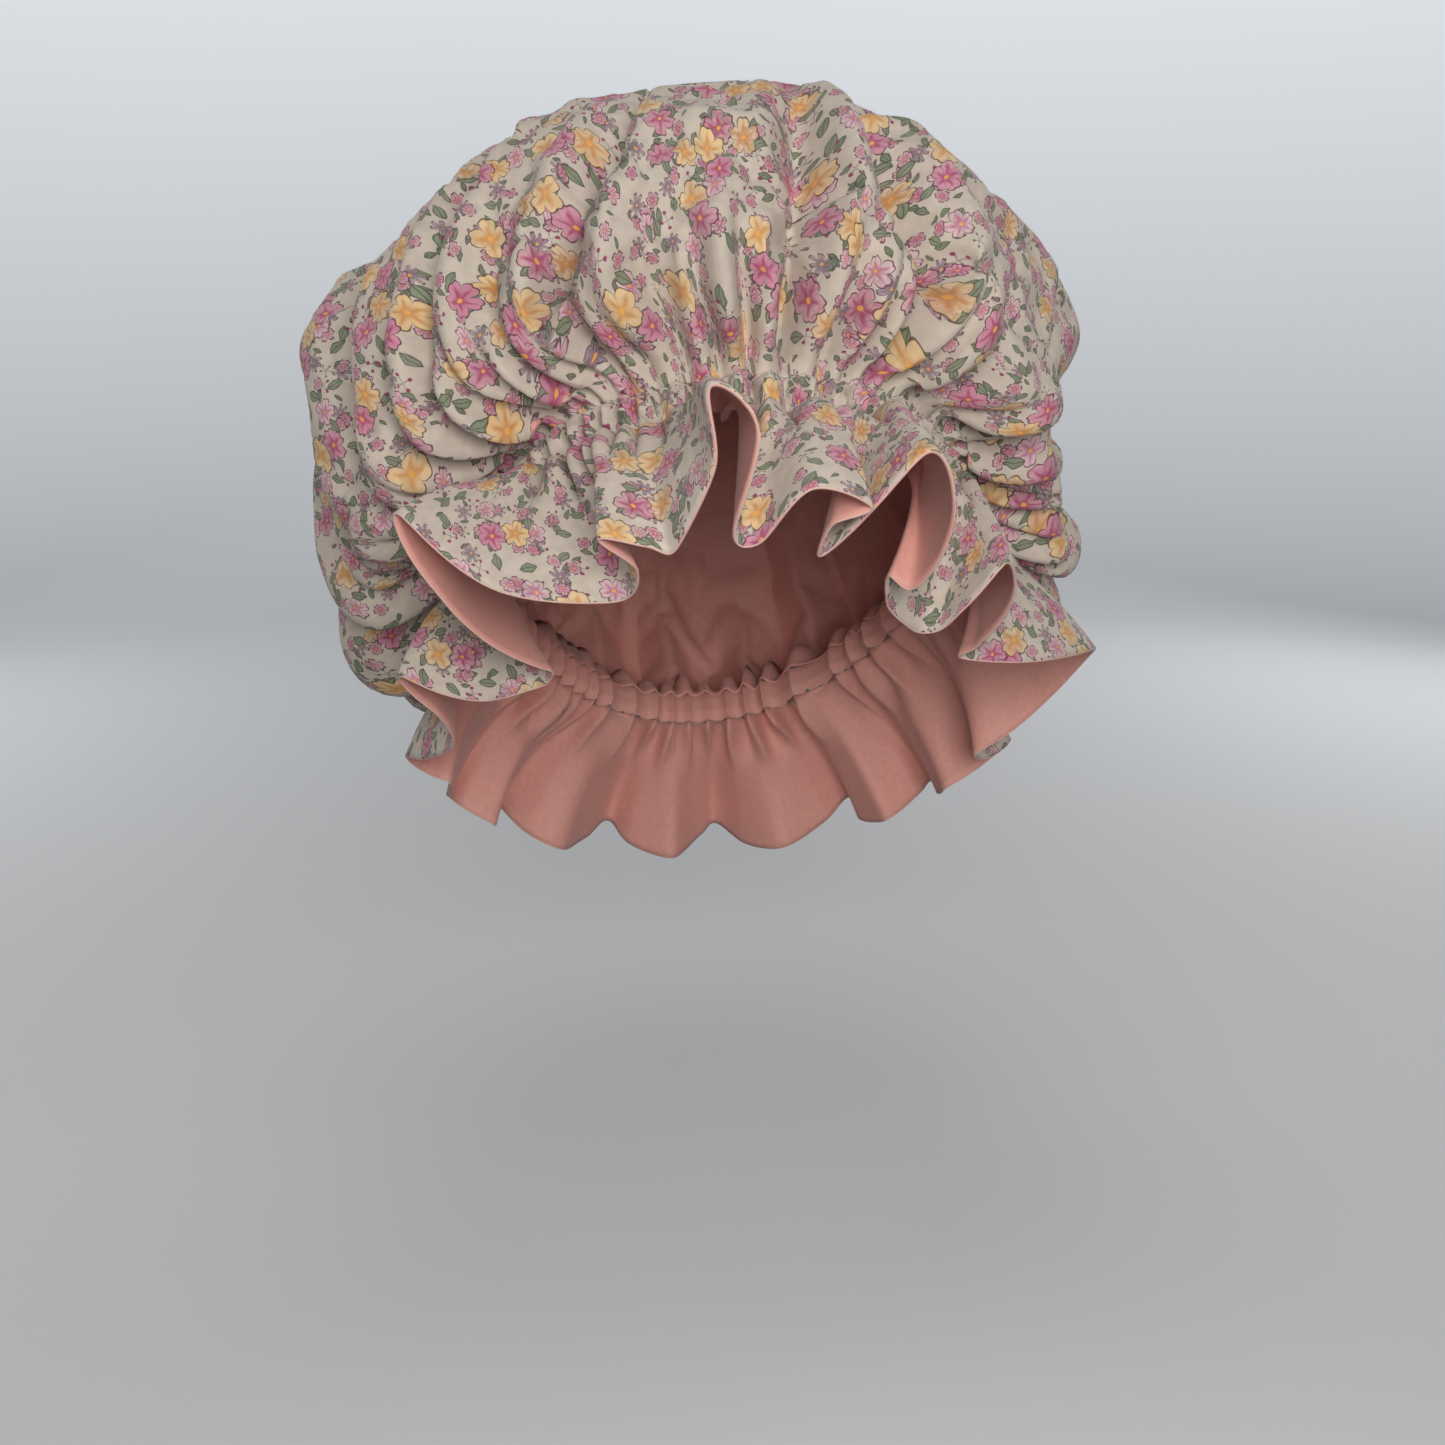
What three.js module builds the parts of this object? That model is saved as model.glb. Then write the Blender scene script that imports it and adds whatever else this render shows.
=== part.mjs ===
// Bonnet: a gathered cloth crown, an elastic casing round the head opening and a deep fluted ruffle
// Lengths in millimetres, angles in degrees, +Z up, the front of the bonnet towards -Y
import * as THREE from 'three';

// Head opening, an ellipse that leans back from the brow to the nape
const OPENING_HALF_WIDTH = 78;
const OPENING_HALF_LENGTH = 108;
const OPENING_TILT = 38;
const OPENING_SIDE_LIFT = 10;

// Casing, the stitched channel that holds the elastic
const CASING_HEIGHT = 12;
const CASING_THICKNESS = 3;
const GATHER_COUNT = 36;
const GATHER_DEPTH = 2.2;

// Crown, measured from the middle of the opening to the crests of its folds
const CROWN_REACH = 140;
const CROWN_RISE = 145;
const CROWN_WALL = 1.2;
const FOLD_DEPTH = 22;

// Ruffle, two layers of cloth from the casing to the seam at its edge
const RUFFLE_WIDTH = 62;
const RUFFLE_WALL = 1;
const RUFFLE_BULGE = 5;
const RUFFLE_LAYER_GAP = 0.6;

// Gap between neighbouring pieces
const CLEARANCE = 0.3;

// Steps round the opening
const CROWN_COLUMNS = 144;
const FLUTE_COLUMNS = 14;

// Sections of the crown from its top to the casing. way is the share of the cloth from the top.
// opening is how far the section follows the opening's outline instead of the round crown.
// Reaches and rises are shares of CROWN_REACH and CROWN_RISE, fold and gather of their depths.
const CROWN_SECTIONS = [
  { way: 0.14, opening: 0, front: [0.3, 0.99], side: [0.29, 0.98], back: [0.29, 0.97], fold: 0, gather: 0 },
  { way: 0.3, opening: 0, front: [0.62, 0.95], side: [0.6, 0.9], back: [0.61, 0.88], fold: 0.12, gather: 0 },
  { way: 0.46, opening: 0, front: [0.89, 0.77], side: [0.86, 0.69], back: [0.89, 0.67], fold: 0.4, gather: 0 },
  { way: 0.6, opening: 0, front: [1, 0.54], side: [0.98, 0.42], back: [1.03, 0.4], fold: 0.75, gather: 0.1 },
  { way: 0.73, opening: 0, front: [1.01, 0.33], side: [0.97, 0.12], back: [1.05, 0.16], fold: 1, gather: 0.6 },
  { way: 0.84, opening: 0.1, front: [0.95, 0.19], side: [0.86, -0.04], back: [0.98, 0.03], fold: 0.8, gather: 1.4 },
  { way: 0.93, opening: 0.72, front: [0.9, 0.11], side: [0.8, 0.08], back: [0.95, 0.075], fold: 0.25, gather: 1.4 },
];

// Valleys of the crown. Each runs from its head azimuth at the widest part to its foot on the casing.
// start is the way at which it begins, depth a share of FOLD_DEPTH, and crest the place of the next
// crest as a share of the way to the next valley.
const CROWN_VALLEYS = [
  { foot: 4, head: 8, start: 0.25, depth: 1.1, crest: 0.5 },
  { foot: 24, head: 15, start: 0.25, depth: 1, crest: 0.5 },
  { foot: 36, head: 40, start: 0.5, depth: 0.5, crest: 0.6 },
  { foot: 50, head: 90, start: 0.3, depth: 1.9, crest: 0.45 },
  { foot: 67, head: 103, start: 0.5, depth: 0.5, crest: 0.5 },
  { foot: 86, head: 114, start: 0.4, depth: 0.8, crest: 0.5 },
  { foot: 104, head: 124, start: 0.45, depth: 0.7, crest: 0.5 },
  { foot: 120, head: 134, start: 0.35, depth: 0.9, crest: 0.45 },
  { foot: 136, head: 144, start: 0.4, depth: 0.7, crest: 0.5 },
  { foot: 151, head: 156, start: 0.3, depth: 1, crest: 0.55 },
  { foot: 167, head: 169, start: 0.45, depth: 0.7, crest: 0.5 },
  { foot: 182, head: 183, start: 0.35, depth: 0.9, crest: 0.5 },
  { foot: 198, head: 196, start: 0.4, depth: 0.75, crest: 0.45 },
  { foot: 213, head: 210, start: 0.3, depth: 1, crest: 0.5 },
  { foot: 229, head: 224, start: 0.45, depth: 0.7, crest: 0.5 },
  { foot: 244, head: 240, start: 0.35, depth: 0.9, crest: 0.5 },
  { foot: 260, head: 258, start: 0.4, depth: 0.75, crest: 0.5 },
  { foot: 276, head: 278, start: 0.45, depth: 0.6, crest: 0.5 },
  { foot: 290, head: 302, start: 0.35, depth: 0.8, crest: 0.5 },
  { foot: 302, head: 313, start: 0.55, depth: 0.6, crest: 0.5 },
  { foot: 310, head: 325, start: 0.2, depth: 1.1, crest: 0.35 },
  { foot: 319, head: 336, start: 0.45, depth: 0.5, crest: 0.5 },
  { foot: 331, head: 347, start: 0.35, depth: 0.85, crest: 0.4 },
  { foot: 346, head: 356, start: 0.6, depth: 0.5, crest: 0.5 },
];

// Broad hollows in the crown, and swells where the depth is negative. The spread is in degrees,
// the length in way, and the depth a share of FOLD_DEPTH.
const CROWN_DENTS = [
  { azimuth: 34, way: 0.44, spread: 16, length: 0.12, depth: 0.45 },
  { azimuth: 66, way: 0.74, spread: 14, length: 0.1, depth: 1.1 },
  { azimuth: 90, way: 0.62, spread: 15, length: 0.09, depth: 0.7 },
  { azimuth: 104, way: 0.8, spread: 12, length: 0.1, depth: -0.3 },
  { azimuth: 246, way: 0.8, spread: 14, length: 0.12, depth: -0.6 },
  { azimuth: 284, way: 0.52, spread: 12, length: 0.14, depth: -0.5 },
  { azimuth: 306, way: 0.46, spread: 12, length: 0.12, depth: 0.35 },
  { azimuth: 354, way: 0.42, spread: 22, length: 0.14, depth: 0.32 },
];

// Flutes of the ruffle, each from its root azimuth on the casing to the root of the next.
// Each pair gives how far the edge leans sideways and how far it drops, as shares of RUFFLE_WIDTH.
const RUFFLE_FLUTES = [
  { root: 1, rise: [-0.2, 0.5], crest: [-0.18, 0.28], fall: [-0.09, 0.35], trough: [-0.36, 0.46] },
  { root: 19, rise: [-0.44, 0.62], crest: [-0.4, 0.17], fall: [-0.34, 0.38], trough: [-0.31, 0.75] },
  { root: 37, rise: [-0.5, 0.76], crest: [-0.38, 0.88], fall: [-0.22, 0.94], trough: [-0.2, 0.93] },
  { root: 49, rise: [-0.34, 0.84], crest: [-0.54, 0.66], fall: [-0.5, 0.73], trough: [-0.3, 0.93] },
  { root: 71, rise: [-0.19, 0.93], crest: [0.18, 0.6], fall: [0.3, 0.74], trough: [0.25, 0.94] },
  { root: 109, rise: [0.12, 0.96], crest: [0.05, 0.84], fall: [-0.06, 0.92], trough: [-0.05, 0.995] },
  { root: 130, rise: [0.06, 0.97], crest: [0.08, 0.87], fall: [-0.04, 0.93], trough: [-0.06, 0.995] },
  { root: 150, rise: [0.05, 0.96], crest: [-0.04, 0.85], fall: [-0.08, 0.94], trough: [-0.02, 0.995] },
  { root: 170, rise: [0.08, 0.97], crest: [0.05, 0.88], fall: [-0.06, 0.93], trough: [-0.04, 0.995] },
  { root: 189, rise: [0.04, 0.96], crest: [-0.06, 0.86], fall: [-0.06, 0.94], trough: [0, 0.995] },
  { root: 208, rise: [0.08, 0.97], crest: [0.02, 0.85], fall: [-0.04, 0.93], trough: [0.04, 0.995] },
  { root: 228, rise: [0.05, 0.96], crest: [-0.12, 0.88], fall: [-0.08, 0.95], trough: [0.1, 0.98] },
  { root: 248, rise: [-0.02, 0.94], crest: [-0.2, 0.82], fall: [-0.12, 0.92], trough: [0.04, 0.98] },
  { root: 268, rise: [0.22, 0.93], crest: [0.25, 0.8], fall: [0.12, 0.97], trough: [0.32, 0.93] },
  { root: 297, rise: [0.35, 0.64], crest: [0.29, 0.22], fall: [0.26, 0.64], trough: [0.39, 0.8] },
  { root: 323, rise: [0.44, 0.67], crest: [0.28, 0.48], fall: [0.3, 0.53], trough: [0.27, 0.54] },
  { root: 341, rise: [0.36, 0.22], crest: [0.21, -0.12], fall: [0.17, 0.04], trough: [-0.14, 0.44] },
];

// Directions of the opening: across, from the middle to the brow, and out of the opening
const radians = THREE.MathUtils.degToRad;
const TILT = radians(OPENING_TILT);
const ACROSS = new THREE.Vector3(1, 0, 0);
const FORWARD = new THREE.Vector3(0, -Math.cos(TILT), Math.sin(TILT));
const OUTWARD = new THREE.Vector3(0, Math.sin(TILT), Math.cos(TILT));
const UP = new THREE.Vector3(0, 0, 1);

const lerp = THREE.MathUtils.lerp;
const smoothstep = THREE.MathUtils.smoothstep;

// Point of the opening's outline, at a height along OUTWARD and an offset from the outline
function openingPoint(azimuth, height, offset = 0) {
  const angle = radians(azimuth);
  return new THREE.Vector3()
    .addScaledVector(FORWARD, OPENING_HALF_LENGTH * Math.cos(angle))
    .addScaledVector(ACROSS, OPENING_HALF_WIDTH * Math.sin(angle))
    .addScaledVector(openingNormal(azimuth), offset)
    .addScaledVector(OUTWARD, height)
    .addScaledVector(UP, OPENING_SIDE_LIFT * Math.sin(angle) ** 2);
}

// Outward direction of the opening's outline in its own plane
function openingNormal(azimuth) {
  const angle = radians(azimuth);
  return new THREE.Vector3()
    .addScaledVector(FORWARD, Math.cos(angle) / OPENING_HALF_LENGTH)
    .addScaledVector(ACROSS, Math.sin(angle) / OPENING_HALF_WIDTH)
    .normalize();
}

// Scrunches of the elastic, from -GATHER_DEPTH / 2 to GATHER_DEPTH / 2
function gatherOffset(azimuth) {
  return (GATHER_DEPTH / 2) * Math.cos(radians(azimuth * GATHER_COUNT));
}

// Points spaced by azimuth round the bonnet
function ring(columns, pointAt) {
  return Array.from({ length: columns }, (_, column) => pointAt((360 * column) / columns));
}

// Crown envelope at the crests, which mixes the front, side and back profiles of a section
function crownEnvelope(section, azimuth) {
  const angle = radians(azimuth);
  const along = Math.cos(angle);
  const ends = along > 0 ? section.front : section.back;
  const share = along * along;
  const reach = CROWN_REACH * lerp(section.side[0], ends[0], share);
  const rise = CROWN_RISE * lerp(section.side[1], ends[1], share);
  const round = new THREE.Vector3()
    .addScaledVector(FORWARD, reach * along)
    .addScaledVector(ACROSS, reach * Math.sin(angle))
    .addScaledVector(OUTWARD, rise);
  return round.lerp(openingPoint(azimuth, rise), section.opening);
}

// Azimuth of a valley at a way down the crown
function valleyAzimuth(valley, way) {
  return lerp(valley.head, valley.foot, smoothstep(way, 0.4, 1));
}

// Inward share of the valleys at an azimuth: 0 on a crest, up to the valley's depth in its bottom
function valleyShare(azimuth, way) {
  const count = CROWN_VALLEYS.length;
  for (let index = 0; index < count; index += 1) {
    const valley = CROWN_VALLEYS[index];
    const next = CROWN_VALLEYS[(index + 1) % count];
    const from = valleyAzimuth(valley, way);
    const span = (valleyAzimuth(next, way) - from + 360) % 360;
    const past = (azimuth - from + 360) % 360;
    if (past < span) {
      const place = (past / span) ** (Math.log(0.5) / Math.log(valley.crest));
      const depth = lerp(valleyDepth(valley, way), valleyDepth(next, way), smoothstep(place, 0, 1));
      const soft = 0.5 + 0.5 * Math.cos(2 * Math.PI * place);
      const sharp = (2 * place - 1) ** 2;
      return depth * lerp(soft, sharp, smoothstep(way, 0.3, 0.8));
    }
  }
  return 0;
}

// Depth of a valley at a way, which fades in from its start
function valleyDepth(valley, way) {
  return valley.depth * smoothstep(way, valley.start, valley.start + 0.3);
}

// Inward share of the broad hollows
function dentShare(azimuth, way) {
  return CROWN_DENTS.reduce((sum, dent) => {
    const turn = ((azimuth - dent.azimuth + 540) % 360) - 180;
    return sum + dent.depth * Math.exp(-((turn / dent.spread) ** 2) - ((way - dent.way) / dent.length) ** 2);
  }, 0);
}

// Unit normals of rows of points that go round the bonnet, from neighbouring points
function rowNormals(rows) {
  return rows.map((row, level) => row.map((_, column) => {
    const above = rows[Math.max(level - 1, 0)][column];
    const below = rows[Math.min(level + 1, rows.length - 1)][column];
    const before = row[(column + row.length - 1) % row.length];
    const after = row[(column + 1) % row.length];
    const round = after.clone().sub(before);
    return below.clone().sub(above).cross(round).normalize();
  }));
}

// Rows moved along their normals
function offsetRows(rows, normals, distance) {
  return rows.map((row, level) => row.map((point, column) => (
    point.clone().addScaledVector(normals[level][column], distance)
  )));
}

// Closed mesh through rings, the last joined to the first, or each end closed on a pole. The first
// half of the rings is the outer side and the rest the inner, cut along the same diagonals.
function closedMesh(rings, poles = []) {
  const columns = rings[0].length;
  const points = [...rings.flat(), ...poles];
  const faces = [];
  const bands = poles.length ? rings.length - 1 : rings.length;
  for (let level = 0; level < bands; level += 1) {
    const upper = level * columns;
    const lower = ((level + 1) % rings.length) * columns;
    for (let column = 0; column < columns; column += 1) {
      const next = (column + 1) % columns;
      if (level < rings.length / 2) {
        faces.push(upper + column, lower + column, lower + next);
        faces.push(upper + column, lower + next, upper + next);
      } else {
        faces.push(upper + column, lower + column, upper + next);
        faces.push(lower + column, lower + next, upper + next);
      }
    }
  }
  poles.forEach((_, end) => {
    const pole = rings.length * columns + end;
    const start = end === 0 ? 0 : (rings.length - 1) * columns;
    for (let column = 0; column < columns; column += 1) {
      const pair = [start + column, start + ((column + 1) % columns)];
      faces.push(pole, ...(end === 0 ? pair : pair.reverse()));
    }
  });
  const geometry = new THREE.BufferGeometry().setFromPoints(points);
  geometry.setIndex(faces);
  geometry.computeVertexNormals();
  return geometry;
}

// Crown wall: the folded bag outside, the same bag one wall thickness further in inside
function crownGeometry() {
  const rows = CROWN_SECTIONS.map((section) => ring(CROWN_COLUMNS, (azimuth) => (
    crownEnvelope(section, azimuth)
  )));
  const foot = CASING_HEIGHT / 2 + CLEARANCE;
  rows.push(ring(CROWN_COLUMNS, (azimuth) => openingPoint(azimuth, foot, CROWN_WALL / 2)));
  const normals = rowNormals(rows);
  const last = rows.length - 1;
  const outer = rows.map((row, level) => row.map((point, column) => {
    const azimuth = (360 * column) / CROWN_COLUMNS;
    if (level === last) {
      return point.clone().addScaledVector(openingNormal(azimuth), gatherOffset(azimuth));
    }
    const section = CROWN_SECTIONS[level];
    const valley = section.fold * valleyShare(azimuth, section.way);
    const inward = FOLD_DEPTH * (valley + dentShare(azimuth, section.way));
    const shift = section.gather * gatherOffset(azimuth) - inward;
    return point.clone().addScaledVector(normals[level][column], shift);
  }));
  const outerNormals = rowNormals(outer);
  outerNormals[last] = ring(CROWN_COLUMNS, openingNormal);
  const inner = offsetRows(outer, outerNormals, -CROWN_WALL);
  const top = OUTWARD.clone().multiplyScalar(CROWN_RISE);
  const poles = [top, top.clone().addScaledVector(OUTWARD, -CROWN_WALL)];
  return closedMesh([...outer, ...inner.reverse()], poles);
}

// Casing band, scrunched by the elastic, with a middle row that bulges a little
function casingGeometry() {
  const half = CASING_THICKNESS / 2;
  const edge = CASING_HEIGHT / 2;
  const corners = [[edge, 0.8], [0, 1.15], [-edge, 0.8], [-edge, -1], [edge, -1]];
  return closedMesh(corners.map(([height, side]) => ring(CROWN_COLUMNS, (azimuth) => (
    openingPoint(azimuth, height, side * half + gatherOffset(azimuth))
  ))));
}

// Smooth curve through four neighbouring values
function throughValues(before, from, to, after, share) {
  const slope = (to - before) / 2;
  const nextSlope = (after - from) / 2;
  const rise = to - from;
  const square = share * share;
  return from + slope * share + (3 * rise - 2 * slope - nextSlope) * square
    + (slope + nextSlope - 2 * rise) * square * share;
}

// Turning points of the ruffle's edge: root azimuth, sideways lean and drop
function ruffleTurns() {
  return RUFFLE_FLUTES.flatMap((flute, index) => {
    const next = RUFFLE_FLUTES[(index + 1) % RUFFLE_FLUTES.length];
    const span = (next.root - flute.root + 360) % 360;
    return [flute.rise, flute.crest, flute.fall, flute.trough].map(([lean, drop], turn) => ({
      root: flute.root + (span * turn) / 4,
      lean,
      drop,
    }));
  });
}

// Line of the ruffle from its root on the casing to its edge, at a place along the turning points
function ruffleLine(turns, place) {
  const first = Math.floor(place);
  const share = place - first;
  const count = turns.length;
  const near = [-1, 0, 1, 2].map((step) => turns[(first + step + count) % count]);
  const roots = near.map((turn) => near[1].root + ((turn.root - near[1].root + 540) % 360) - 180);
  const root = throughValues(...roots, share);
  const lean = throughValues(...near.map((turn) => turn.lean), share);
  const drop = throughValues(...near.map((turn) => turn.drop), share);
  const reach = Math.sqrt(Math.max(1 - lean * lean - drop * drop, 0));
  const along = openingPoint(root + 0.1, 0).sub(openingPoint(root - 0.1, 0)).normalize();
  const down = UP.clone().negate().addScaledVector(along, UP.dot(along)).normalize();
  const out = down.clone().cross(along).normalize();
  const foot = -CASING_HEIGHT / 2 - CLEARANCE;
  const start = openingPoint(root, foot, gatherOffset(root));
  return { root, start, along, down, out, lean, drop, reach };
}

// Point of the ruffle at a share of its width, on a line that bulges up a little
function rufflePoint(line, width) {
  const bulge = 4 * RUFFLE_BULGE * width * (1 - width);
  return line.start.clone()
    .addScaledVector(line.along, RUFFLE_WIDTH * width * line.lean)
    .addScaledVector(line.down, RUFFLE_WIDTH * width * line.drop - bulge * line.reach)
    .addScaledVector(line.out, RUFFLE_WIDTH * width * line.reach + bulge * line.drop);
}

// One layer of the ruffle, between two distances from the middle of its cloth
function ruffleGeometry(outerSide, innerSide) {
  const turns = ruffleTurns();
  const columns = RUFFLE_FLUTES.length * FLUTE_COLUMNS;
  const lines = Array.from({ length: columns }, (_, column) => (
    ruffleLine(turns, (column * turns.length) / columns)
  ));
  const rows = [0, 0.5, 1].map((width) => lines.map((line) => rufflePoint(line, width)));
  const normals = rowNormals(rows);
  normals[0] = lines.map((line) => openingNormal(line.root));
  const outer = offsetRows(rows, normals, outerSide);
  const inner = offsetRows(rows, normals, innerSide);
  return closedMesh([...outer, ...inner.reverse()]);
}

// Named mesh with a matt cloth material
function piece(name, geometry, color) {
  const material = new THREE.MeshStandardMaterial({ color, roughness: 0.85, metalness: 0 });
  const mesh = new THREE.Mesh(geometry, material);
  mesh.name = name;
  return mesh;
}

const PRINT_COLOR = 0xd3cec4;
const LINING_COLOR = 0xd99a93;
const NEAR_SIDE = RUFFLE_LAYER_GAP / 2;
const FAR_SIDE = NEAR_SIDE + RUFFLE_WALL;

const bonnet = new THREE.Group();
bonnet.add(piece('crown', crownGeometry(), PRINT_COLOR));
bonnet.add(piece('elastic_casing', casingGeometry(), PRINT_COLOR));
bonnet.add(piece('ruffle', ruffleGeometry(FAR_SIDE, NEAR_SIDE), PRINT_COLOR));
bonnet.add(piece('ruffle_lining', ruffleGeometry(-NEAR_SIDE, -FAR_SIDE), LINING_COLOR));

export default bonnet;
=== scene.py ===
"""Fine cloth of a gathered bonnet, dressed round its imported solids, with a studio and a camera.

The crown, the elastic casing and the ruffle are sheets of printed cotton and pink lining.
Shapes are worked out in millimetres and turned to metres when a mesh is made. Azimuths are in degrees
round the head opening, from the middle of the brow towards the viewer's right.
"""

import logging
import math
from collections.abc import Iterable, Sequence
from dataclasses import dataclass
from enum import Enum

import bpy
import numpy as np
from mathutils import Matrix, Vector

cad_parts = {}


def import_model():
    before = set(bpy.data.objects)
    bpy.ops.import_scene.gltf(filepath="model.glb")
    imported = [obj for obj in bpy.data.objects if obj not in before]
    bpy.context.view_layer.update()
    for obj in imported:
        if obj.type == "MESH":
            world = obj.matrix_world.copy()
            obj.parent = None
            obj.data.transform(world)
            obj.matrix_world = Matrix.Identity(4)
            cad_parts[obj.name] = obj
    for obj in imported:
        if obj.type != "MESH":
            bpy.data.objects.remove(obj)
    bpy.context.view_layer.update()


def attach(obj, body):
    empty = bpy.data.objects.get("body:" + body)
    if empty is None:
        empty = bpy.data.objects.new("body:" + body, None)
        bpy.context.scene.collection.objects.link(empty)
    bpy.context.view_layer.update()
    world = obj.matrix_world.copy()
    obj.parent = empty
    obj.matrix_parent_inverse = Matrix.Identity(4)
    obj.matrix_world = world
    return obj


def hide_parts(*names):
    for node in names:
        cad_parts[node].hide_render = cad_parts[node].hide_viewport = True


LOG = logging.getLogger("bonnet")
METRES = 0.001
FULL_TURN = 6.2832
CLOTH_UV = "cloth"

Array = np.ndarray
Step = tuple[str, str, dict, dict]


class Slot(Enum):
    """Material slots of the record."""

    PRINT = "printed_cotton"
    LINING = "lining_cotton"


def linear(code: str) -> tuple[float, float, float, float]:
    """Turns an sRGB colour code to linear light.

    Args:
        code: Colour as #rrggbb.

    Returns:
        Red, green, blue and an alpha of 1.
    """
    shares = [int(code[at : at + 2], 16) / 255 for at in (1, 3, 5)]
    light = [s / 12.92 if s <= 0.04045 else ((s + 0.055) / 1.055) ** 2.4 for s in shares]
    return (light[0], light[1], light[2], 1.0)


def smoothstep(value: Array, low: float, high: float) -> Array:
    """Returns 0 below low, 1 above high and a smooth rise between."""
    share = np.clip((value - low) / (high - low), 0, 1)
    return share * share * (3 - 2 * share)


def unit(vectors: Array) -> Array:
    """Returns the vectors with a length of 1."""
    return vectors / np.maximum(np.linalg.norm(vectors, axis=-1, keepdims=True), 1e-9)


def lerp(start: Array, end: Array, share: Array) -> Array:
    """Returns the mix of two values or points."""
    return start + (end - start) * share


def through(knots: Array, values: Array, places: Array) -> Array:
    """Smooth curve through values at uneven knots.

    Args:
        knots: Rising places of the values.
        values: Value at each knot.
        places: Places at which the curve is read.

    Returns:
        The curve's values.
    """
    slopes = np.gradient(values, knots)
    index = np.clip(np.searchsorted(knots, places, side="right") - 1, 0, len(knots) - 2)
    width = knots[index + 1] - knots[index]
    share = (places - knots[index]) / width
    square = share * share
    cube = square * share
    return (
        (2 * cube - 3 * square + 1) * values[index]
        + (cube - 2 * square + share) * width * slopes[index]
        + (3 * square - 2 * cube) * values[index + 1]
        + (cube - square) * width * slopes[index + 1]
    )


def glide(near: Sequence[Array], share: Array) -> Array:
    """Smooth curve between the middle two of four neighbours.

    Args:
        near: Values one step before, at the start, at the end and one step after.
        share: Share of the way from the start to the end.

    Returns:
        The curve's values.
    """
    slope = (near[2] - near[0]) / 2
    after = (near[3] - near[1]) / 2
    rise = near[2] - near[1]
    square = (3 * rise - 2 * slope - after) * share**2
    cube = (slope + after - 2 * rise) * share**3
    return near[1] + slope * share + square + cube


def grid_normals(points: Array) -> Array:
    """Outward unit normals of rows of points that go round the bonnet.

    Args:
        points: Grid of rows, columns and coordinates, joined round its columns.

    Returns:
        A unit vector for each point.
    """
    down = np.empty_like(points)
    down[1:-1] = points[2:] - points[:-2]
    down[0] = points[1] - points[0]
    down[-1] = points[-1] - points[-2]
    around = np.roll(points, -1, axis=1) - np.roll(points, 1, axis=1)
    return unit(np.cross(down, around))


def row_lengths(points: Array) -> Array:
    """Returns the length run down each column from its first row."""
    steps = np.linalg.norm(np.diff(points, axis=0), axis=-1)
    return np.vstack([np.zeros(points.shape[1]), np.cumsum(steps, axis=0)])


@dataclass(frozen=True)
class Ripples:
    """Small seeded waves that keep cloth from looking machined.

    Attributes:
        seed: Seed of the waves' phases.
        count: How many waves are added up.
        around: Lowest and highest number of waves round the bonnet.
        along: Highest number of waves down the cloth.
    """

    seed: int
    count: int
    around: tuple[int, int]
    along: float

    def read(self, azimuth: Array, way: Array) -> Array:
        """Adds the waves up.

        Args:
            azimuth: Degrees round the bonnet.
            way: Share of the way down the cloth.

        Returns:
            Values that lie mostly between -1 and 1.
        """
        chance = np.random.default_rng(self.seed)
        total = np.zeros(np.broadcast(azimuth, way).shape)
        for _ in range(self.count):
            turns = chance.integers(self.around[0], self.around[1] + 1)
            rows = chance.uniform(-self.along, self.along)
            start = chance.uniform(0, 2 * math.pi)
            total += np.sin(np.radians(azimuth) * turns + 2 * math.pi * way * rows + start)
        return total / math.sqrt(self.count)


@dataclass(frozen=True)
class Opening:
    """Head opening, an ellipse that leans back from the brow to the nape.

    Attributes:
        half_width: Half of its width over the ears, in millimetres.
        half_length: Half of its length from brow to nape, in millimetres.
        tilt: Lean of its plane, in degrees.
        side_lift: How much higher its sides lie, in millimetres.
    """

    half_width: float = 78.0
    half_length: float = 108.0
    tilt: float = 38.0
    side_lift: float = 10.0

    @property
    def forward(self) -> Array:
        """Direction from the middle to the brow."""
        lean = math.radians(self.tilt)
        return np.array([0.0, -math.cos(lean), math.sin(lean)])

    @property
    def outward(self) -> Array:
        """Direction out of the opening, up into the crown."""
        lean = math.radians(self.tilt)
        return np.array([0.0, math.sin(lean), math.cos(lean)])

    @property
    def across(self) -> Array:
        """Direction to the viewer's right."""
        return np.array([1.0, 0.0, 0.0])

    def normal(self, azimuth: Array) -> Array:
        """Outward direction of the outline in its own plane.

        Args:
            azimuth: Degrees round the opening.

        Returns:
            Unit vectors.
        """
        angle = np.radians(azimuth)[..., None]
        ahead = self.forward * np.cos(angle) / self.half_length
        return unit(ahead + self.across * np.sin(angle) / self.half_width)

    def point(self, azimuth: Array, height: Array, offset: Array) -> Array:
        """Points beside the outline.

        Args:
            azimuth: Degrees round the opening.
            height: Millimetres up into the crown.
            offset: Millimetres outwards from the outline.

        Returns:
            Points in millimetres.
        """
        angle = np.radians(azimuth)[..., None]
        lift = self.side_lift * np.sin(angle) ** 2
        return (
            self.forward * self.half_length * np.cos(angle)
            + self.across * self.half_width * np.sin(angle)
            + self.normal(azimuth) * np.asarray(offset)[..., None]
            + self.outward * np.asarray(height)[..., None]
            + np.array([0.0, 0.0, 1.0]) * lift
        )


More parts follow.
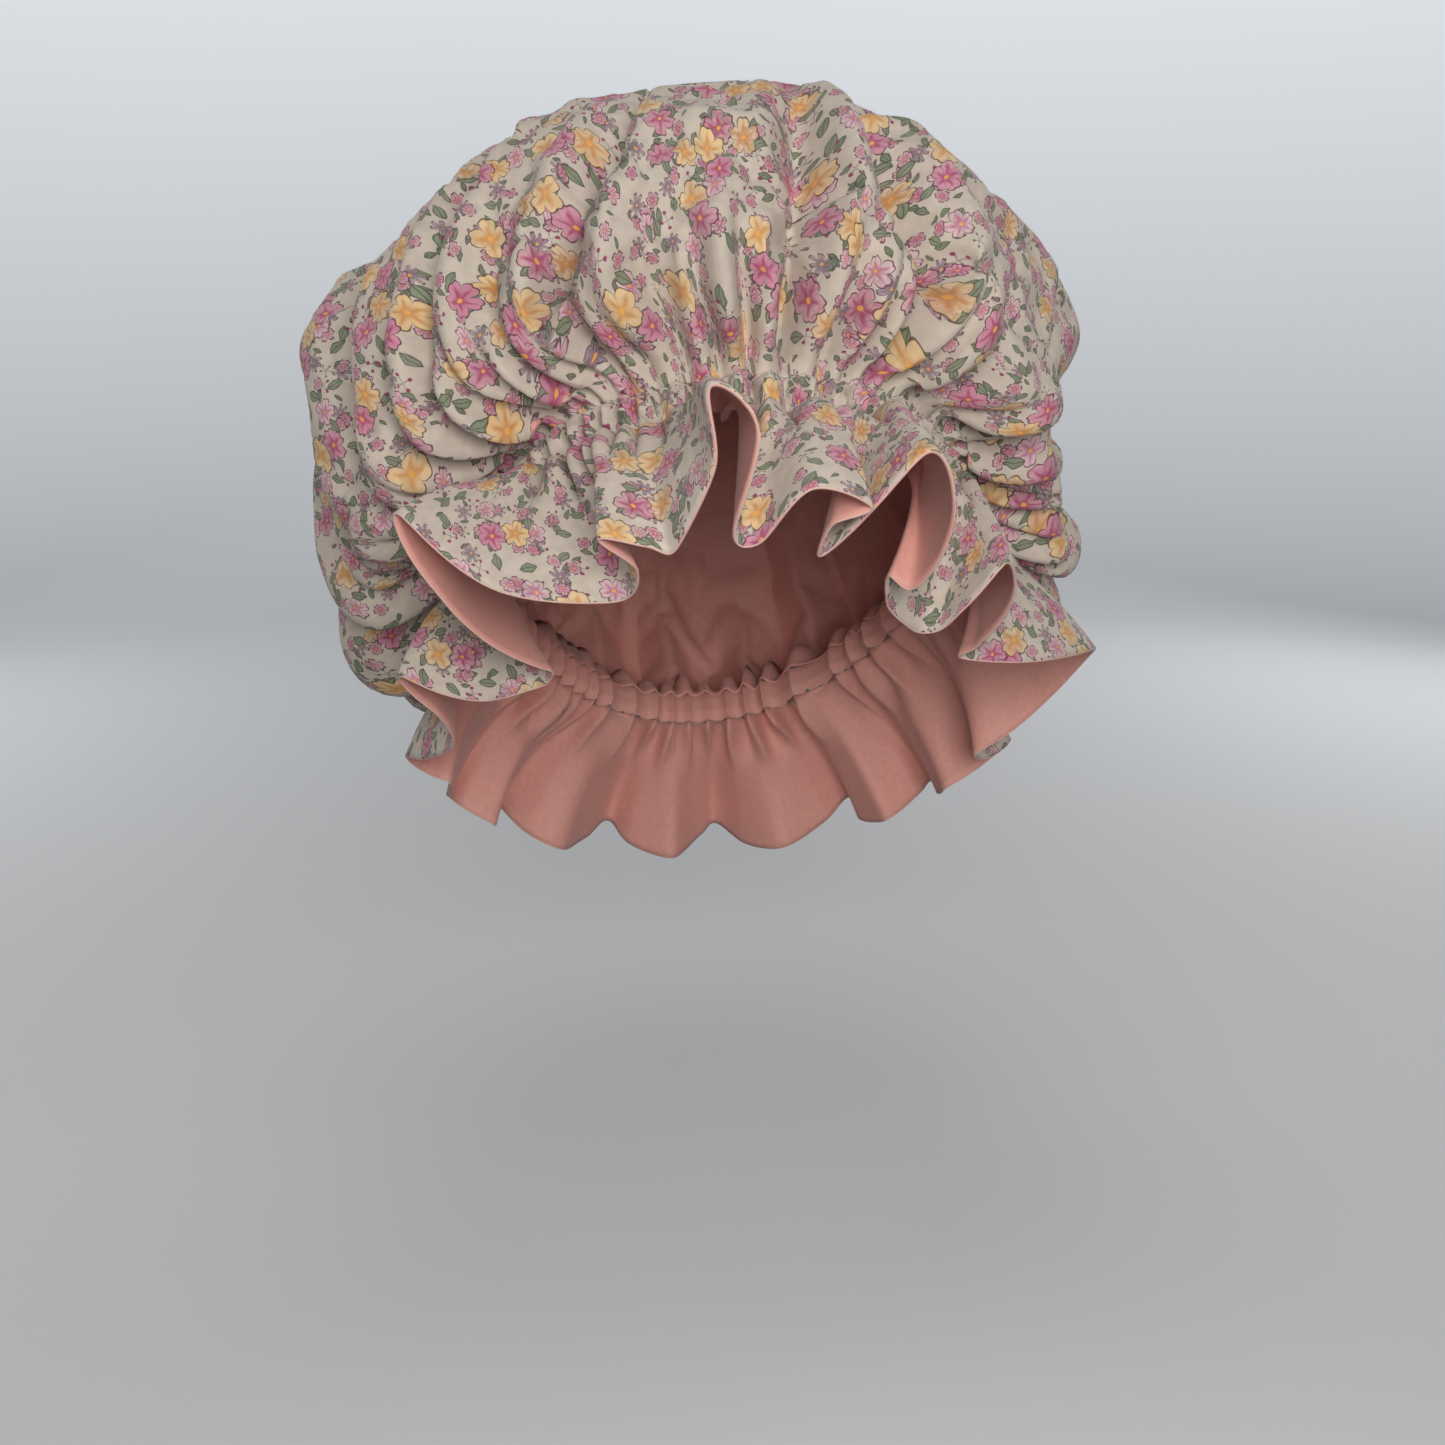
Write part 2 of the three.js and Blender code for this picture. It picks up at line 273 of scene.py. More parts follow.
@dataclass(frozen=True)
class Gathers:
    """Uneven tucks that the elastic pulls into the cloth.

    Attributes:
        count: Tucks round the opening.
    """

    count: int = 58

    def phase(self, azimuth: Array) -> Array:
        """Tucks passed at an azimuth, with uneven spacing."""
        angle = np.radians(azimuth)
        uneven = 0.8 * np.sin(angle + 0.7) + 0.5 * np.sin(3 * angle + 2.1)
        uneven = uneven + 0.3 * np.sin(7 * angle + 4.0) + 0.16 * np.sin(13 * angle + 1.3)
        return azimuth * self.count / 360 + uneven

    def fine(self, azimuth: Array) -> Array:
        """Wave of the single tucks, 1 on a crest and -1 in a tuck."""
        angle = np.radians(azimuth)
        height = 1 + 0.3 * np.sin(5 * angle + 0.4) + 0.25 * np.sin(11 * angle + 2.6)
        wave = np.abs(np.cos(math.pi * self.phase(azimuth)))
        return height * (2 * wave**0.8 - 1)

    def paired(self, azimuth: Array) -> Array:
        """Wave of the tucks that run together higher up, 1 on a crest and -1 in a crease."""
        wave = np.abs(np.cos(math.pi / 2 * self.phase(azimuth) + 0.4))
        return 2 * wave**0.75 - 1

    def drawn(self, azimuth: Array, amount: Array) -> Array:
        """Azimuth on the flat cloth, most of which goes into the tucks and not over the crests.

        Args:
            azimuth: Degrees round the opening.
            amount: Share of a tuck's cloth that hides in it, from 0 to 0.8.

        Returns:
            Degrees round the flat cloth.
        """
        sway = np.sin(2 * math.pi * self.phase(azimuth))
        return azimuth - amount * sway * 360 / self.count / (2 * math.pi)


class SheetMesh:
    """Closed cloth shell on a grid that goes round the bonnet."""

    def __init__(self, outer: Array, inner: Array, flat: Array, pole: Array | None = None) -> None:
        """Keeps the shell's grids.

        Args:
            outer: Outer points, rows by columns, in millimetres.
            inner: Inner points on the same grid.
            flat: Place of each point on the flat cloth, in millimetres.
            pole: Outer and inner point that close the first row, where the cloth has a middle.
        """
        self.outer = outer
        self.inner = inner
        self.flat = flat
        self.pole = pole

    def build(self, name: str) -> bpy.types.Object:
        """Makes the object, with the flat cloth as its UV map in metres.

        Args:
            name: Name of the object.

        Returns:
            The new object, at the origin.
        """
        rows, columns = self.outer.shape[:2]
        rings = np.concatenate([self.outer, self.inner[::-1]])
        flats = np.concatenate([self.flat, self.flat[::-1]])
        points = rings.reshape(-1, 3)
        flat = flats.reshape(-1, 2)
        levels = 2 * rows if self.pole is None else 2 * rows - 1
        upper = (np.arange(levels) % (2 * rows))[:, None] * columns
        lower = (np.arange(1, levels + 1) % (2 * rows))[:, None] * columns
        here = np.arange(columns)[None, :]
        after = (here + 1) % columns
        quads = np.stack([upper + here, lower + here, lower + after, upper + after], axis=-1)
        faces = quads.reshape(-1, 4).tolist()
        if self.pole is not None:
            points = np.vstack([points, self.pole])
            flat = np.vstack([flat, np.zeros((2, 2))])
            first = rings.shape[0] * columns
            last = (2 * rows - 1) * columns
            for column in range(columns):
                beside = (column + 1) % columns
                faces.append([first, column, beside])
                faces.append([first + 1, last + beside, last + column])
        return mesh_object(name, points, faces, flat)


def mesh_object(name: str, points: Array, faces: list, flat: Array | None) -> bpy.types.Object:
    """Makes a smooth-shaded object from points in millimetres.

    Args:
        name: Name of the object.
        points: Points in millimetres.
        faces: Corner numbers of each face.
        flat: Place of each point on the flat cloth in millimetres, or None.

    Returns:
        The new object, linked to the scene.
    """
    mesh = bpy.data.meshes.new(name)
    mesh.from_pydata((points * METRES).tolist(), [], faces)
    mesh.polygons.foreach_set("use_smooth", np.ones(len(mesh.polygons), dtype=bool))
    if flat is not None:
        corners = np.empty(len(mesh.loops), dtype=np.int64)
        mesh.loops.foreach_get("vertex_index", corners)
        layer = mesh.uv_layers.new(name=CLOTH_UV)
        layer.uv.foreach_set("vector", (flat[corners] * METRES).astype(np.float32).ravel())
    mesh.update()
    made = bpy.data.objects.new(name, mesh)
    bpy.context.scene.collection.objects.link(made)
    return made


def tube_object(name: str, path: Array, sides: int, radius: Array) -> bpy.types.Object:
    """Makes a closed ring of round section along a path.

    Args:
        name: Name of the object.
        path: Points of the ring in millimetres.
        sides: Sides of the section.
        radius: Radius at each point in millimetres.

    Returns:
        The new object.
    """
    along = unit(np.roll(path, -1, axis=0) - np.roll(path, 1, axis=0))
    side = unit(np.cross(along, np.array([0.0, 0.3, 1.0])))
    over = np.cross(along, side)
    angle = 2 * math.pi * np.arange(sides) / sides
    ring = side[:, None] * np.cos(angle)[None, :, None] + over[:, None] * np.sin(angle)[None, :, None]
    points = path[:, None] + ring * radius[:, None, None]
    count = len(path)
    here = np.arange(count)[:, None] * sides
    there = ((np.arange(count) + 1) % count)[:, None] * sides
    first = np.arange(sides)[None, :]
    second = (first + 1) % sides
    faces = np.stack([here + first, there + first, there + second, here + second], axis=-1)
    return mesh_object(name, points.reshape(-1, 3), faces.reshape(-1, 4).tolist(), None)


def add_node(tree: bpy.types.NodeTree, kind: str, settings: dict, inputs: dict) -> bpy.types.Node:
    """Adds a node with its settings and links.

    Args:
        tree: Tree that gets the node.
        kind: Node type, without its ShaderNode prefix.
        settings: Properties of the node.
        inputs: Input name or number, with the socket that feeds it or its value.

    Returns:
        The new node.
    """
    node = tree.nodes.new(kind if kind.startswith("NodeGroup") else "ShaderNode" + kind)
    for name, value in settings.items():
        setattr(node, name, value)
    for name, value in inputs.items():
        if isinstance(value, bpy.types.NodeSocket):
            tree.links.new(value, node.inputs[name])
        else:
            node.inputs[name].default_value = value
    return node


def wire(tree: bpy.types.NodeTree, known: dict, steps: Iterable[Step]) -> dict:
    """Adds nodes in order, each reading the results named before it.

    Args:
        tree: Tree that gets the nodes.
        known: Sockets by name.
        steps: Result name, node type, settings and inputs of each node. A text input names a result,
            with the output after a dot where it isn't the first one.

    Returns:
        The known sockets with the new results added.
    """
    results = dict(known)
    for result, kind, settings, inputs in steps:
        fed = {
            name: results[value] if isinstance(value, str) else value
            for name, value in inputs.items()
        }
        node = add_node(tree, kind, settings, fed)
        for number, output in enumerate(node.outputs):
            if output.enabled:
                results.setdefault(result, output)
                results[f"{result}.{output.name}"] = output
    return results


def new_material(name: str) -> tuple[bpy.types.Material, bpy.types.Node]:
    """Makes a material with nodes.

    Args:
        name: Name of the material.

    Returns:
        The material and its surface shader.
    """
    material = bpy.data.materials.new(name)
    material.use_nodes = True
    return material, material.node_tree.nodes["Principled BSDF"]


ADD = {"operation": "ADD"}
SUBTRACT = {"operation": "SUBTRACT"}
MULTIPLY = {"operation": "MULTIPLY"}
DIVIDE = {"operation": "DIVIDE"}
POWER = {"operation": "POWER"}
COSINE = {"operation": "COSINE"}
SINE = {"operation": "SINE"}
ABSOLUTE = {"operation": "ABSOLUTE"}
ARCTAN2 = {"operation": "ARCTAN2"}
LESS_THAN = {"operation": "LESS_THAN"}
LENGTH = {"operation": "LENGTH"}
CLAMPED = {"operation": "MULTIPLY", "use_clamp": True}
CLAMPED_SUBTRACT = {"operation": "SUBTRACT", "use_clamp": True}
MULTIPLY_ADD = {"operation": "MULTIPLY_ADD"}
SCALE = {"operation": "SCALE"}
MIX = {"data_type": "RGBA"}
FLAT = {"voronoi_dimensions": "2D", "feature": "F1"}
FLAT_NOISE = {"noise_dimensions": "2D"}

# Millimetres on the flat cloth
CLOTH_MM: tuple[Step, ...] = (
    ("map", "UVMap", {"uv_map": CLOTH_UV}, {}),
    ("mm", "VectorMath", SCALE, {0: "map", "Scale": 1 / METRES}),
)


# Rise of the print's edges per millimetre, soft enough not to flicker
EDGE = 4.0


def penned(place: float, width: float) -> tuple[Step, ...]:
    """Cover of a motif, and the pen line just inside its edge.

    The line comes out about 0.6 mm wide, twice as wide as the real one, so that it shows.

    Args:
        place: Distance of the line from the edge, in millimetres.
        width: Strength of the line at its middle, above 1 where it has a full core.

    Returns:
        Steps that read the results inside and here, and make mask and line.
    """
    return (
        ("cover", "Math", CLAMPED, {0: "inside", 1: EDGE}),
        ("mask", "Math", MULTIPLY, {0: "cover", 1: "here"}),
        ("from_line", "Math", SUBTRACT, {0: "inside", 1: place}),
        ("line_gap", "Math", ABSOLUTE, {0: "from_line"}),
        ("line_part", "Math", MULTIPLY, {0: "line_gap", 1: EDGE}),
        ("line", "Math", CLAMPED_SUBTRACT, {0: width, 1: "line_part"}),
    )


class MotifGroup:
    """Node group that prints one kind of motif over the colour under it."""

    SOCKETS = {
        "Cloth": ("NodeSocketVector", (0.0, 0.0, 0.0)),
        "Under": ("NodeSocketColor", (1.0, 1.0, 1.0, 1.0)),
        "Spacing": ("NodeSocketFloat", 30.0),
        "Turn": ("NodeSocketFloat", 0.0),
        "Shift": ("NodeSocketVector", (0.0, 0.0, 0.0)),
        "Size": ("NodeSocketFloat", 8.0),
        "Count": ("NodeSocketFloat", 5.0),
        "Point": ("NodeSocketFloat", 0.45),
        "Share": ("NodeSocketFloat", 0.75),
        "Body": ("NodeSocketColor", (1.0, 1.0, 1.0, 1.0)),
        "Heart": ("NodeSocketColor", (1.0, 1.0, 1.0, 1.0)),
        "Line": ("NodeSocketColor", (0.2, 0.15, 0.15, 1.0)),
    }

    # Place of the cloth in the motif that is nearest, with random numbers of that motif
    PLACE: tuple[Step, ...] = (
        ("turned", "VectorRotate", {"rotation_type": "Z_AXIS"}, {"Vector": "Cloth", "Angle": "Turn"}),
        ("moved", "VectorMath", ADD, {0: "turned", 1: "Shift"}),
        ("rate", "Math", DIVIDE, {0: 1.0, 1: "Spacing"}),
        ("cell", "TexVoronoi", FLAT, {"Vector": "moved", "Scale": "rate", "Randomness": 0.45}),
        ("chance", "SeparateColor", {}, {"Color": "cell.Color"}),
        ("local", "VectorMath", SUBTRACT, {0: "moved", 1: "cell.Position"}),
        ("at", "SeparateXYZ", {}, {"Vector": "local"}),
        ("reach", "VectorMath", LENGTH, {0: "local"}),
        ("here", "Math", LESS_THAN, {0: "chance.Green", 1: "Share"}),
        ("bare_angle", "Math", ARCTAN2, {0: "at.Y", 1: "at.X"}),
        ("angle", "Math", MULTIPLY_ADD, {0: "chance.Red", 1: FULL_TURN, 2: "bare_angle"}),
    )

    def __init__(self, name: str, steps: Iterable[Step]) -> None:
        """Makes the group.

        Args:
            name: Name of the group.
            steps: Nodes after the shared ones; the last result is named printed.
        """
        self.tree = bpy.data.node_groups.new(name, "ShaderNodeTree")
        for label, (kind, value) in self.SOCKETS.items():
            socket = self.tree.interface.new_socket(label, in_out="INPUT", socket_type=kind)
            socket.default_value = value
        self.tree.interface.new_socket("Printed", in_out="OUTPUT", socket_type="NodeSocketColor")
        inputs = add_node(self.tree, "NodeGroupInput", {}, {})
        known = {label: inputs.outputs[label] for label in self.SOCKETS}
        known = wire(self.tree, known, [*self.PLACE, *steps])
        add_node(self.tree, "NodeGroupOutput", {}, {"Printed": known["printed.Result"]})


BLOSSOM_STEPS: tuple[Step, ...] = (
    ("half_count", "Math", MULTIPLY, {0: "Count", 1: 0.5}),
    ("fold", "Math", MULTIPLY, {0: "angle", 1: "half_count"}),
    ("cosine", "Math", COSINE, {0: "fold"}),
    ("wave", "Math", ABSOLUTE, {0: "cosine"}),
    ("round", "Math", POWER, {0: "wave", 1: "Point"}),
    ("notch", "Math", POWER, {0: "wave", 1: 14.0}),
    ("petal", "Math", MULTIPLY_ADD, {0: "round", 1: 0.62, 2: 0.38}),
    ("outline_share", "Math", MULTIPLY_ADD, {0: "notch", 1: -0.12, 2: "petal"}),
    ("edge", "Math", MULTIPLY, {0: "outline_share", 1: "Size"}),
    ("inside", "Math", SUBTRACT, {0: "edge", 1: "reach.Value"}),
    *penned(0.2, 1.8),
    # Deep heart that fades into the petals along a fine streak
    ("part", "Math", DIVIDE, {0: "reach.Value", 1: "Size"}),
    ("streak", "Math", POWER, {0: "wave", 1: 9.0}),
    ("streak_reach", "Math", MULTIPLY_ADD, {0: "streak", 1: 0.34, 2: 0.46}),
    ("heart_gap", "Math", SUBTRACT, {0: "streak_reach", 1: "part"}),
    ("heart_share", "Math", CLAMPED, {0: "heart_gap", 1: 3.0}),
    ("heart_soft", "Math", MULTIPLY, {0: "heart_share", 1: 0.8}),
    ("pale_share", "Math", MULTIPLY, {0: "chance.Blue", 1: 0.4}),
    ("pale", "Mix", MIX, {"Factor": "pale_share", "A": "Body", "B": "Under"}),
    ("hearted", "Mix", MIX, {"Factor": "heart_soft", "A": "pale.Result", "B": "Heart"}),
    ("lined_share", "Math", MULTIPLY, {0: "line", 1: 0.95}),
    ("lined", "Mix", MIX, {"Factor": "lined_share", "A": "hearted.Result", "B": "Line"}),
    # Pollen dot
    ("dot_gap", "Math", SUBTRACT, {0: 0.14, 1: "part"}),
    ("dot", "Math", CLAMPED, {0: "dot_gap", 1: 25.0}),
    ("dotted", "Mix", MIX, {"Factor": "dot", "A": "lined.Result", "B": (0.85, 0.42, 0.1, 1.0)}),
    ("printed", "Mix", MIX, {"Factor": "mask", "A": "Under", "B": "dotted.Result"}),
)

LEAF_STEPS: tuple[Step, ...] = (
    ("sine", "Math", SINE, {0: "angle"}),
    ("cosine", "Math", COSINE, {0: "angle"}),
    ("long", "Math", MULTIPLY, {0: "reach.Value", 1: "cosine"}),
    ("wide", "Math", MULTIPLY, {0: "reach.Value", 1: "sine"}),
    ("long_part", "Math", DIVIDE, {0: "long", 1: "Size"}),
    ("long_square", "Math", MULTIPLY, {0: "long_part", 1: "long_part"}),
    ("blade", "Math", SUBTRACT, {0: 1.0, 1: "long_square"}),
    ("half_wide", "Math", MULTIPLY, {0: "Size", 1: "Point"}),
    ("limit", "Math", MULTIPLY, {0: "blade", 1: "half_wide"}),
    ("off", "Math", ABSOLUTE, {0: "wide"}),
    ("inside", "Math", SUBTRACT, {0: "limit", 1: "off"}),
    *penned(0.18, 1.7),
    ("rib_part", "Math", MULTIPLY, {0: "off", 1: EDGE}),
    ("rib", "Math", CLAMPED_SUBTRACT, {0: 1.0, 1: "rib_part"}),
    ("both", "Math", {"operation": "MAXIMUM"}, {0: "line", 1: "rib"}),
    ("drawn", "Math", MULTIPLY, {0: "both", 1: 0.85}),
    ("tint_share", "Math", MULTIPLY, {0: "chance.Blue", 1: 0.45}),
    ("tint", "Mix", MIX, {"Factor": "tint_share", "A": "Body", "B": "Heart"}),
    ("lined", "Mix", MIX, {"Factor": "drawn", "A": "tint.Result", "B": "Line"}),
    ("printed", "Mix", MIX, {"Factor": "mask", "A": "Under", "B": "lined.Result"}),
)

BERRY_STEPS: tuple[Step, ...] = (
    ("sector", "Math", DIVIDE, {0: FULL_TURN, 1: "Count"}),
    ("wrapped", "Math", {"operation": "FLOORED_MODULO"}, {0: "angle", 1: "sector"}),
    ("half_sector", "Math", MULTIPLY, {0: "sector", 1: 0.5}),
    ("bearing", "Math", SUBTRACT, {0: "wrapped", 1: "half_sector"}),
    ("cosine", "Math", COSINE, {0: "bearing"}),
    ("sine", "Math", SINE, {0: "bearing"}),
    ("long", "Math", MULTIPLY, {0: "reach.Value", 1: "cosine"}),
    ("wide", "Math", MULTIPLY, {0: "reach.Value", 1: "sine"}),
    ("ahead", "Math", SUBTRACT, {0: "long", 1: "Size"}),
    ("ahead_square", "Math", MULTIPLY, {0: "ahead", 1: "ahead"}),
    ("square", "Math", MULTIPLY_ADD, {0: "wide", 1: "wide", 2: "ahead_square"}),
    ("gap", "Math", POWER, {0: "square", 1: 0.5}),
    ("inside", "Math", SUBTRACT, {0: "Point", 1: "gap"}),
    ("cover", "Math", CLAMPED, {0: "inside", 1: EDGE}),
    ("off", "Math", ABSOLUTE, {0: "wide"}),
    ("stem_gap", "Math", MULTIPLY, {0: "off", 1: EDGE}),
    ("stem_near", "Math", CLAMPED_SUBTRACT, {0: 1.0, 1: "stem_gap"}),
    ("stem_reach", "Math", LESS_THAN, {0: "reach.Value", 1: "Size"}),
    ("stem", "Math", MULTIPLY, {0: "stem_near", 1: "stem_reach"}),
    ("stem_here", "Math", MULTIPLY, {0: "stem", 1: "here"}),
    ("stem_soft", "Math", MULTIPLY, {0: "stem_here", 1: 0.7}),
    ("mask", "Math", MULTIPLY, {0: "cover", 1: "here"}),
    ("stemmed", "Mix", MIX, {"Factor": "stem_soft", "A": "Under", "B": "Line"}),
    ("printed", "Mix", MIX, {"Factor": "mask", "A": "stemmed.Result", "B": "Body"}),
)


@dataclass(frozen=True)
class Motif:
    """One motif of the print. Sizes are real millimetres on the flat cloth.

    Attributes:
        group: Which drawing it uses: blossom, leaf or berry.
        spacing: Mean distance to the next one.
        turn: Turn of its lattice in degrees.
        shift: Shift of its lattice.
        size: Radius of a blossom, half length of a leaf or reach of a berry sprig.
        count: Petals or berries.
        point: Petal roundness, leaf slimness or berry radius.
        share: Share of the lattice places that carry one.
        body: Colour of petals, leaf or berries.
        heart: Colour towards the heart.
        line: Colour of the pen line.
    """

    group: str
    spacing: float
    turn: float
    shift: tuple[float, float]
    size: float
    count: int
    point: float
    share: float
    body: str
    heart: str
    line: str


@dataclass(frozen=True)
class PrintedCotton:
    """Plain-weave cotton lawn with a small reactive print of mixed garden flowers.

    A matt cloth: the eye gets a fine even weave, no gloss and ink that sits in the cloth.

    Attributes:
        ground: Colour of the unprinted cloth.
        motifs: Motifs from the lowest to the topmost.
        thread_mm: Thread spacing as drawn. Real lawn has 0.25 mm, too fine to show.
        roughness: Roughness of the cloth.
    """

    ground: str = "#cfc4b7"
    thread_mm: float = 0.55
    roughness: float = 0.88
    motifs: tuple[Motif, ...] = (
        Motif("leaf", 9.0, 70, (2, 2), 1.9, 1, 0.48, 0.65, "#90957f", "#7d8570", "#52574a"),
        Motif("leaf", 11.4, 11, (3, 5), 2.5, 1, 0.52, 0.7, "#8f957f", "#7b8470", "#4e5446"),
        Motif("leaf", 13.6, 52, (9, 2), 2.9, 1, 0.54, 0.75, "#878f79", "#9ba38b", "#4e5446"),
        Motif("berry", 14.5, 33, (4, 11), 2.2, 4, 0.7, 0.62, "#98466a", "#98466a", "#575d4f"),
        Motif("blossom", 14.2, 71, (6, 1), 3.8, 7, 1.4, 0.72, "#a5919c", "#836c7d", "#5a4855"),
        Motif("blossom", 12.2, 24, (2, 8), 2.8, 5, 0.5, 0.7, "#d09aab", "#ad5177", "#5d3b4e"),
        Motif("blossom", 13.6, 40, (8, 13), 2.8, 5, 0.5, 0.66, "#d8adb7", "#b46a89", "#5d3b4e"),
        Motif("berry", 17.5, 80, (13, 3), 2.0, 5, 0.5, 0.55, "#6a6863", "#6a6863", "#565b4f"),
        Motif("blossom", 21.5, 47, (15, 9), 4.9, 5, 0.5, 0.75, "#dfbcc5", "#ba6e8c", "#6a3f53"),
        Motif("leaf", 18.5, 66, (5, 17), 3.3, 1, 0.52, 0.85, "#878f79", "#9ba38b", "#464c40"),
        Motif("leaf", 20.0, 20, (19, 7), 3.2, 1, 0.55, 0.85, "#8f967f", "#798570", "#464c40"),
        Motif("blossom", 29.5, 8, (0, 0), 6.3, 5, 0.42, 0.74, "#e6c595", "#cb8d53", "#5a4632"),
        Motif("blossom", 29.5, 8, (8.5, 4), 6.3, 5, 0.42, 0.74, "#d18fa6", "#a83d68", "#552c3e"),
        Motif("blossom", 31.5, 59, (18, 11), 6.0, 5, 0.42, 0.66, "#d294aa", "#aa426e", "#552c3e"),
        Motif("blossom", 31.5, 59, (11, 18), 6.5, 4, 0.42, 0.66, "#e8ca9b", "#cf955b", "#5a4632"),
    )

    def build(self) -> bpy.types.Material:
        """Makes the material, on the pieces' flat cloth map.

        Returns:
            The new material.
        """
        material, shader = new_material("printed_cotton_lawn")
        tree = material.node_tree
        groups = {
            "blossom": MotifGroup("printed_blossom", BLOSSOM_STEPS).tree,
            "leaf": MotifGroup("printed_leaf", LEAF_STEPS).tree,
            "berry": MotifGroup("printed_berries", BERRY_STEPS).tree,
        }
        # Millimetres on the cloth, pushed about half a millimetre as a hand-drawn outline is
        known = wire(tree, {}, (
            *CLOTH_MM,
            ("hand", "TexNoise", FLAT_NOISE, {"Vector": "mm", "Scale": 0.28, "Detail": 1.0}),
            ("middle", "VectorMath", SUBTRACT, {0: "hand.Color", 1: (0.5, 0.5, 0.5)}),
            ("push", "VectorMath", SCALE, {0: "middle", "Scale": 1.3}),
            ("cloth", "VectorMath", ADD, {0: "mm", 1: "push"}),
        ))
        under: bpy.types.NodeSocket | tuple = linear(self.ground)
        for motif in self.motifs:
            node = add_node(tree, "Group", {"node_tree": groups[motif.group]}, {
                "Cloth": known["cloth"],
                "Under": under,
                "Spacing": motif.spacing,
                "Turn": math.radians(motif.turn),
                "Shift": (*motif.shift, 0.0),
                "Size": motif.size,
                "Count": float(motif.count),
                "Point": motif.point,
                "Share": motif.share,
                "Body": linear(motif.body),
                "Heart": linear(motif.heart),
                "Line": linear(motif.line),
            })
            under = node.outputs["Printed"]
        known["print"] = under
        known = wire(tree, known, (
            # Watery ink, a little uneven over a few millimetres
            ("ink", "TexNoise", FLAT_NOISE, {"Vector": "mm", "Scale": 0.22, "Detail": 3.0}),
            ("ink_level", "MapRange", {}, {"Value": "ink", 1: 0.3, 2: 0.7, 3: 0.93, 4: 1.06}),
            ("inked", "VectorMath", SCALE, {0: "print", "Scale": "ink_level"}),
            ("threads", "VectorMath", SCALE, {0: "mm", "Scale": 2 * math.pi / self.thread_mm}),
            ("thread", "SeparateXYZ", {}, {"Vector": "threads"}),
            ("warp", "Math", SINE, {0: "thread.X"}),
            ("weft", "Math", SINE, {0: "thread.Y"}),
            ("weave", "Math", MULTIPLY, {0: "warp", 1: "weft"}),
            ("crease", "TexNoise", FLAT_NOISE, {"Vector": "mm", "Scale": 0.12, "Detail": 4.0}),
            ("height", "Math", MULTIPLY_ADD, {0: "crease", 1: 9.0, 2: "weave"}),
            ("relief", "Bump", {}, {"Strength": 0.35, "Distance": 0.00006, "Height": "height"}),
        ))
        tree.links.new(known["inked"], shader.inputs["Base Color"])
        tree.links.new(known["relief"], shader.inputs["Normal"])
        shader.inputs["Roughness"].default_value = self.roughness
        shader.inputs["Sheen Weight"].default_value = 0.12
        shader.inputs["Sheen Roughness"].default_value = 0.6
        shader.inputs["Specular IOR Level"].default_value = 0.25
        return material


@dataclass(frozen=True)
class LiningSateen:
    """Piece-dyed cotton sateen, smooth, with a soft low sheen where it bends.

    Attributes:
        name: Name of the material.
        body: Colour of the cloth.
        thread_mm: Thread spacing as drawn, coarser than the real 0.2 mm so that it shows.
        roughness: Roughness of the cloth.
    """

    name: str = "pink_lining_sateen"
    body: str = "#e0a398"
    thread_mm: float = 0.5
    roughness: float = 0.62

    def build(self) -> bpy.types.Material:
        """Makes the material, on the pieces' flat cloth map.

        Returns:
            The new material.
        """
        material, shader = new_material(self.name)
        tree = material.node_tree
        known = wire(tree, {}, (
            *CLOTH_MM,
            ("slub", "TexNoise", FLAT_NOISE, {"Vector": "mm", "Scale": 0.4, "Detail": 3.0}),
            ("level", "MapRange", {}, {"Value": "slub", 1: 0.3, 2: 0.7, 3: 0.96, 4: 1.04}),
            ("dyed", "VectorMath", SCALE, {0: linear(self.body)[:3], "Scale": "level"}),
            ("threads", "VectorMath", SCALE, {0: "mm", "Scale": 2 * math.pi / self.thread_mm}),
            ("thread", "SeparateXYZ", {}, {"Vector": "threads"}),
            ("warp", "Math", SINE, {0: "thread.X"}),
            ("crease", "TexNoise", FLAT_NOISE, {"Vector": "mm", "Scale": 0.1, "Detail": 3.0}),
            ("height", "Math", MULTIPLY_ADD, {0: "crease", 1: 12.0, 2: "warp"}),
            ("relief", "Bump", {}, {"Strength": 0.25, "Distance": 0.00005, "Height": "height"}),
        ))
        tree.links.new(known["dyed"], shader.inputs["Base Color"])
        tree.links.new(known["relief"], shader.inputs["Normal"])
        shader.inputs["Roughness"].default_value = self.roughness
        shader.inputs["Sheen Weight"].default_value = 0.2
        shader.inputs["Sheen Roughness"].default_value = 0.45
        return material


@dataclass(frozen=True)
class SewingThread:
    """Spun polyester thread, matt, with a fine twist.

    Attributes:
        name: Name of the material.
        body: Colour of the thread.
        twist_mm: Length of one twist.
    """

    name: str = "spun_polyester_thread"
    body: str = "#d9d2c6"
    twist_mm: float = 0.5

    def build(self) -> bpy.types.Material:
        """Makes the material on object coordinates.

        Returns:
            The new material.
        """
        material, shader = new_material(self.name)
        tree = material.node_tree
        known = wire(tree, {}, (
            ("place", "TexCoord", {}, {}),
            ("mm", "VectorMath", SCALE, {0: "place.Object", "Scale": 1 / METRES}),
            ("strand", "TexNoise", {}, {"Vector": "mm", "Scale": 1 / self.twist_mm, "Detail": 2.0}),
            ("level", "MapRange", {}, {"Value": "strand", 1: 0.3, 2: 0.7, 3: 0.85, 4: 1.08}),
            ("spun", "VectorMath", SCALE, {0: linear(self.body)[:3], "Scale": "level"}),
            ("relief", "Bump", {}, {"Strength": 0.5, "Distance": 0.0001, "Height": "strand"}),
        ))
        tree.links.new(known["spun"], shader.inputs["Base Color"])
        tree.links.new(known["relief"], shader.inputs["Normal"])
        shader.inputs["Roughness"].default_value = 0.85
        return material


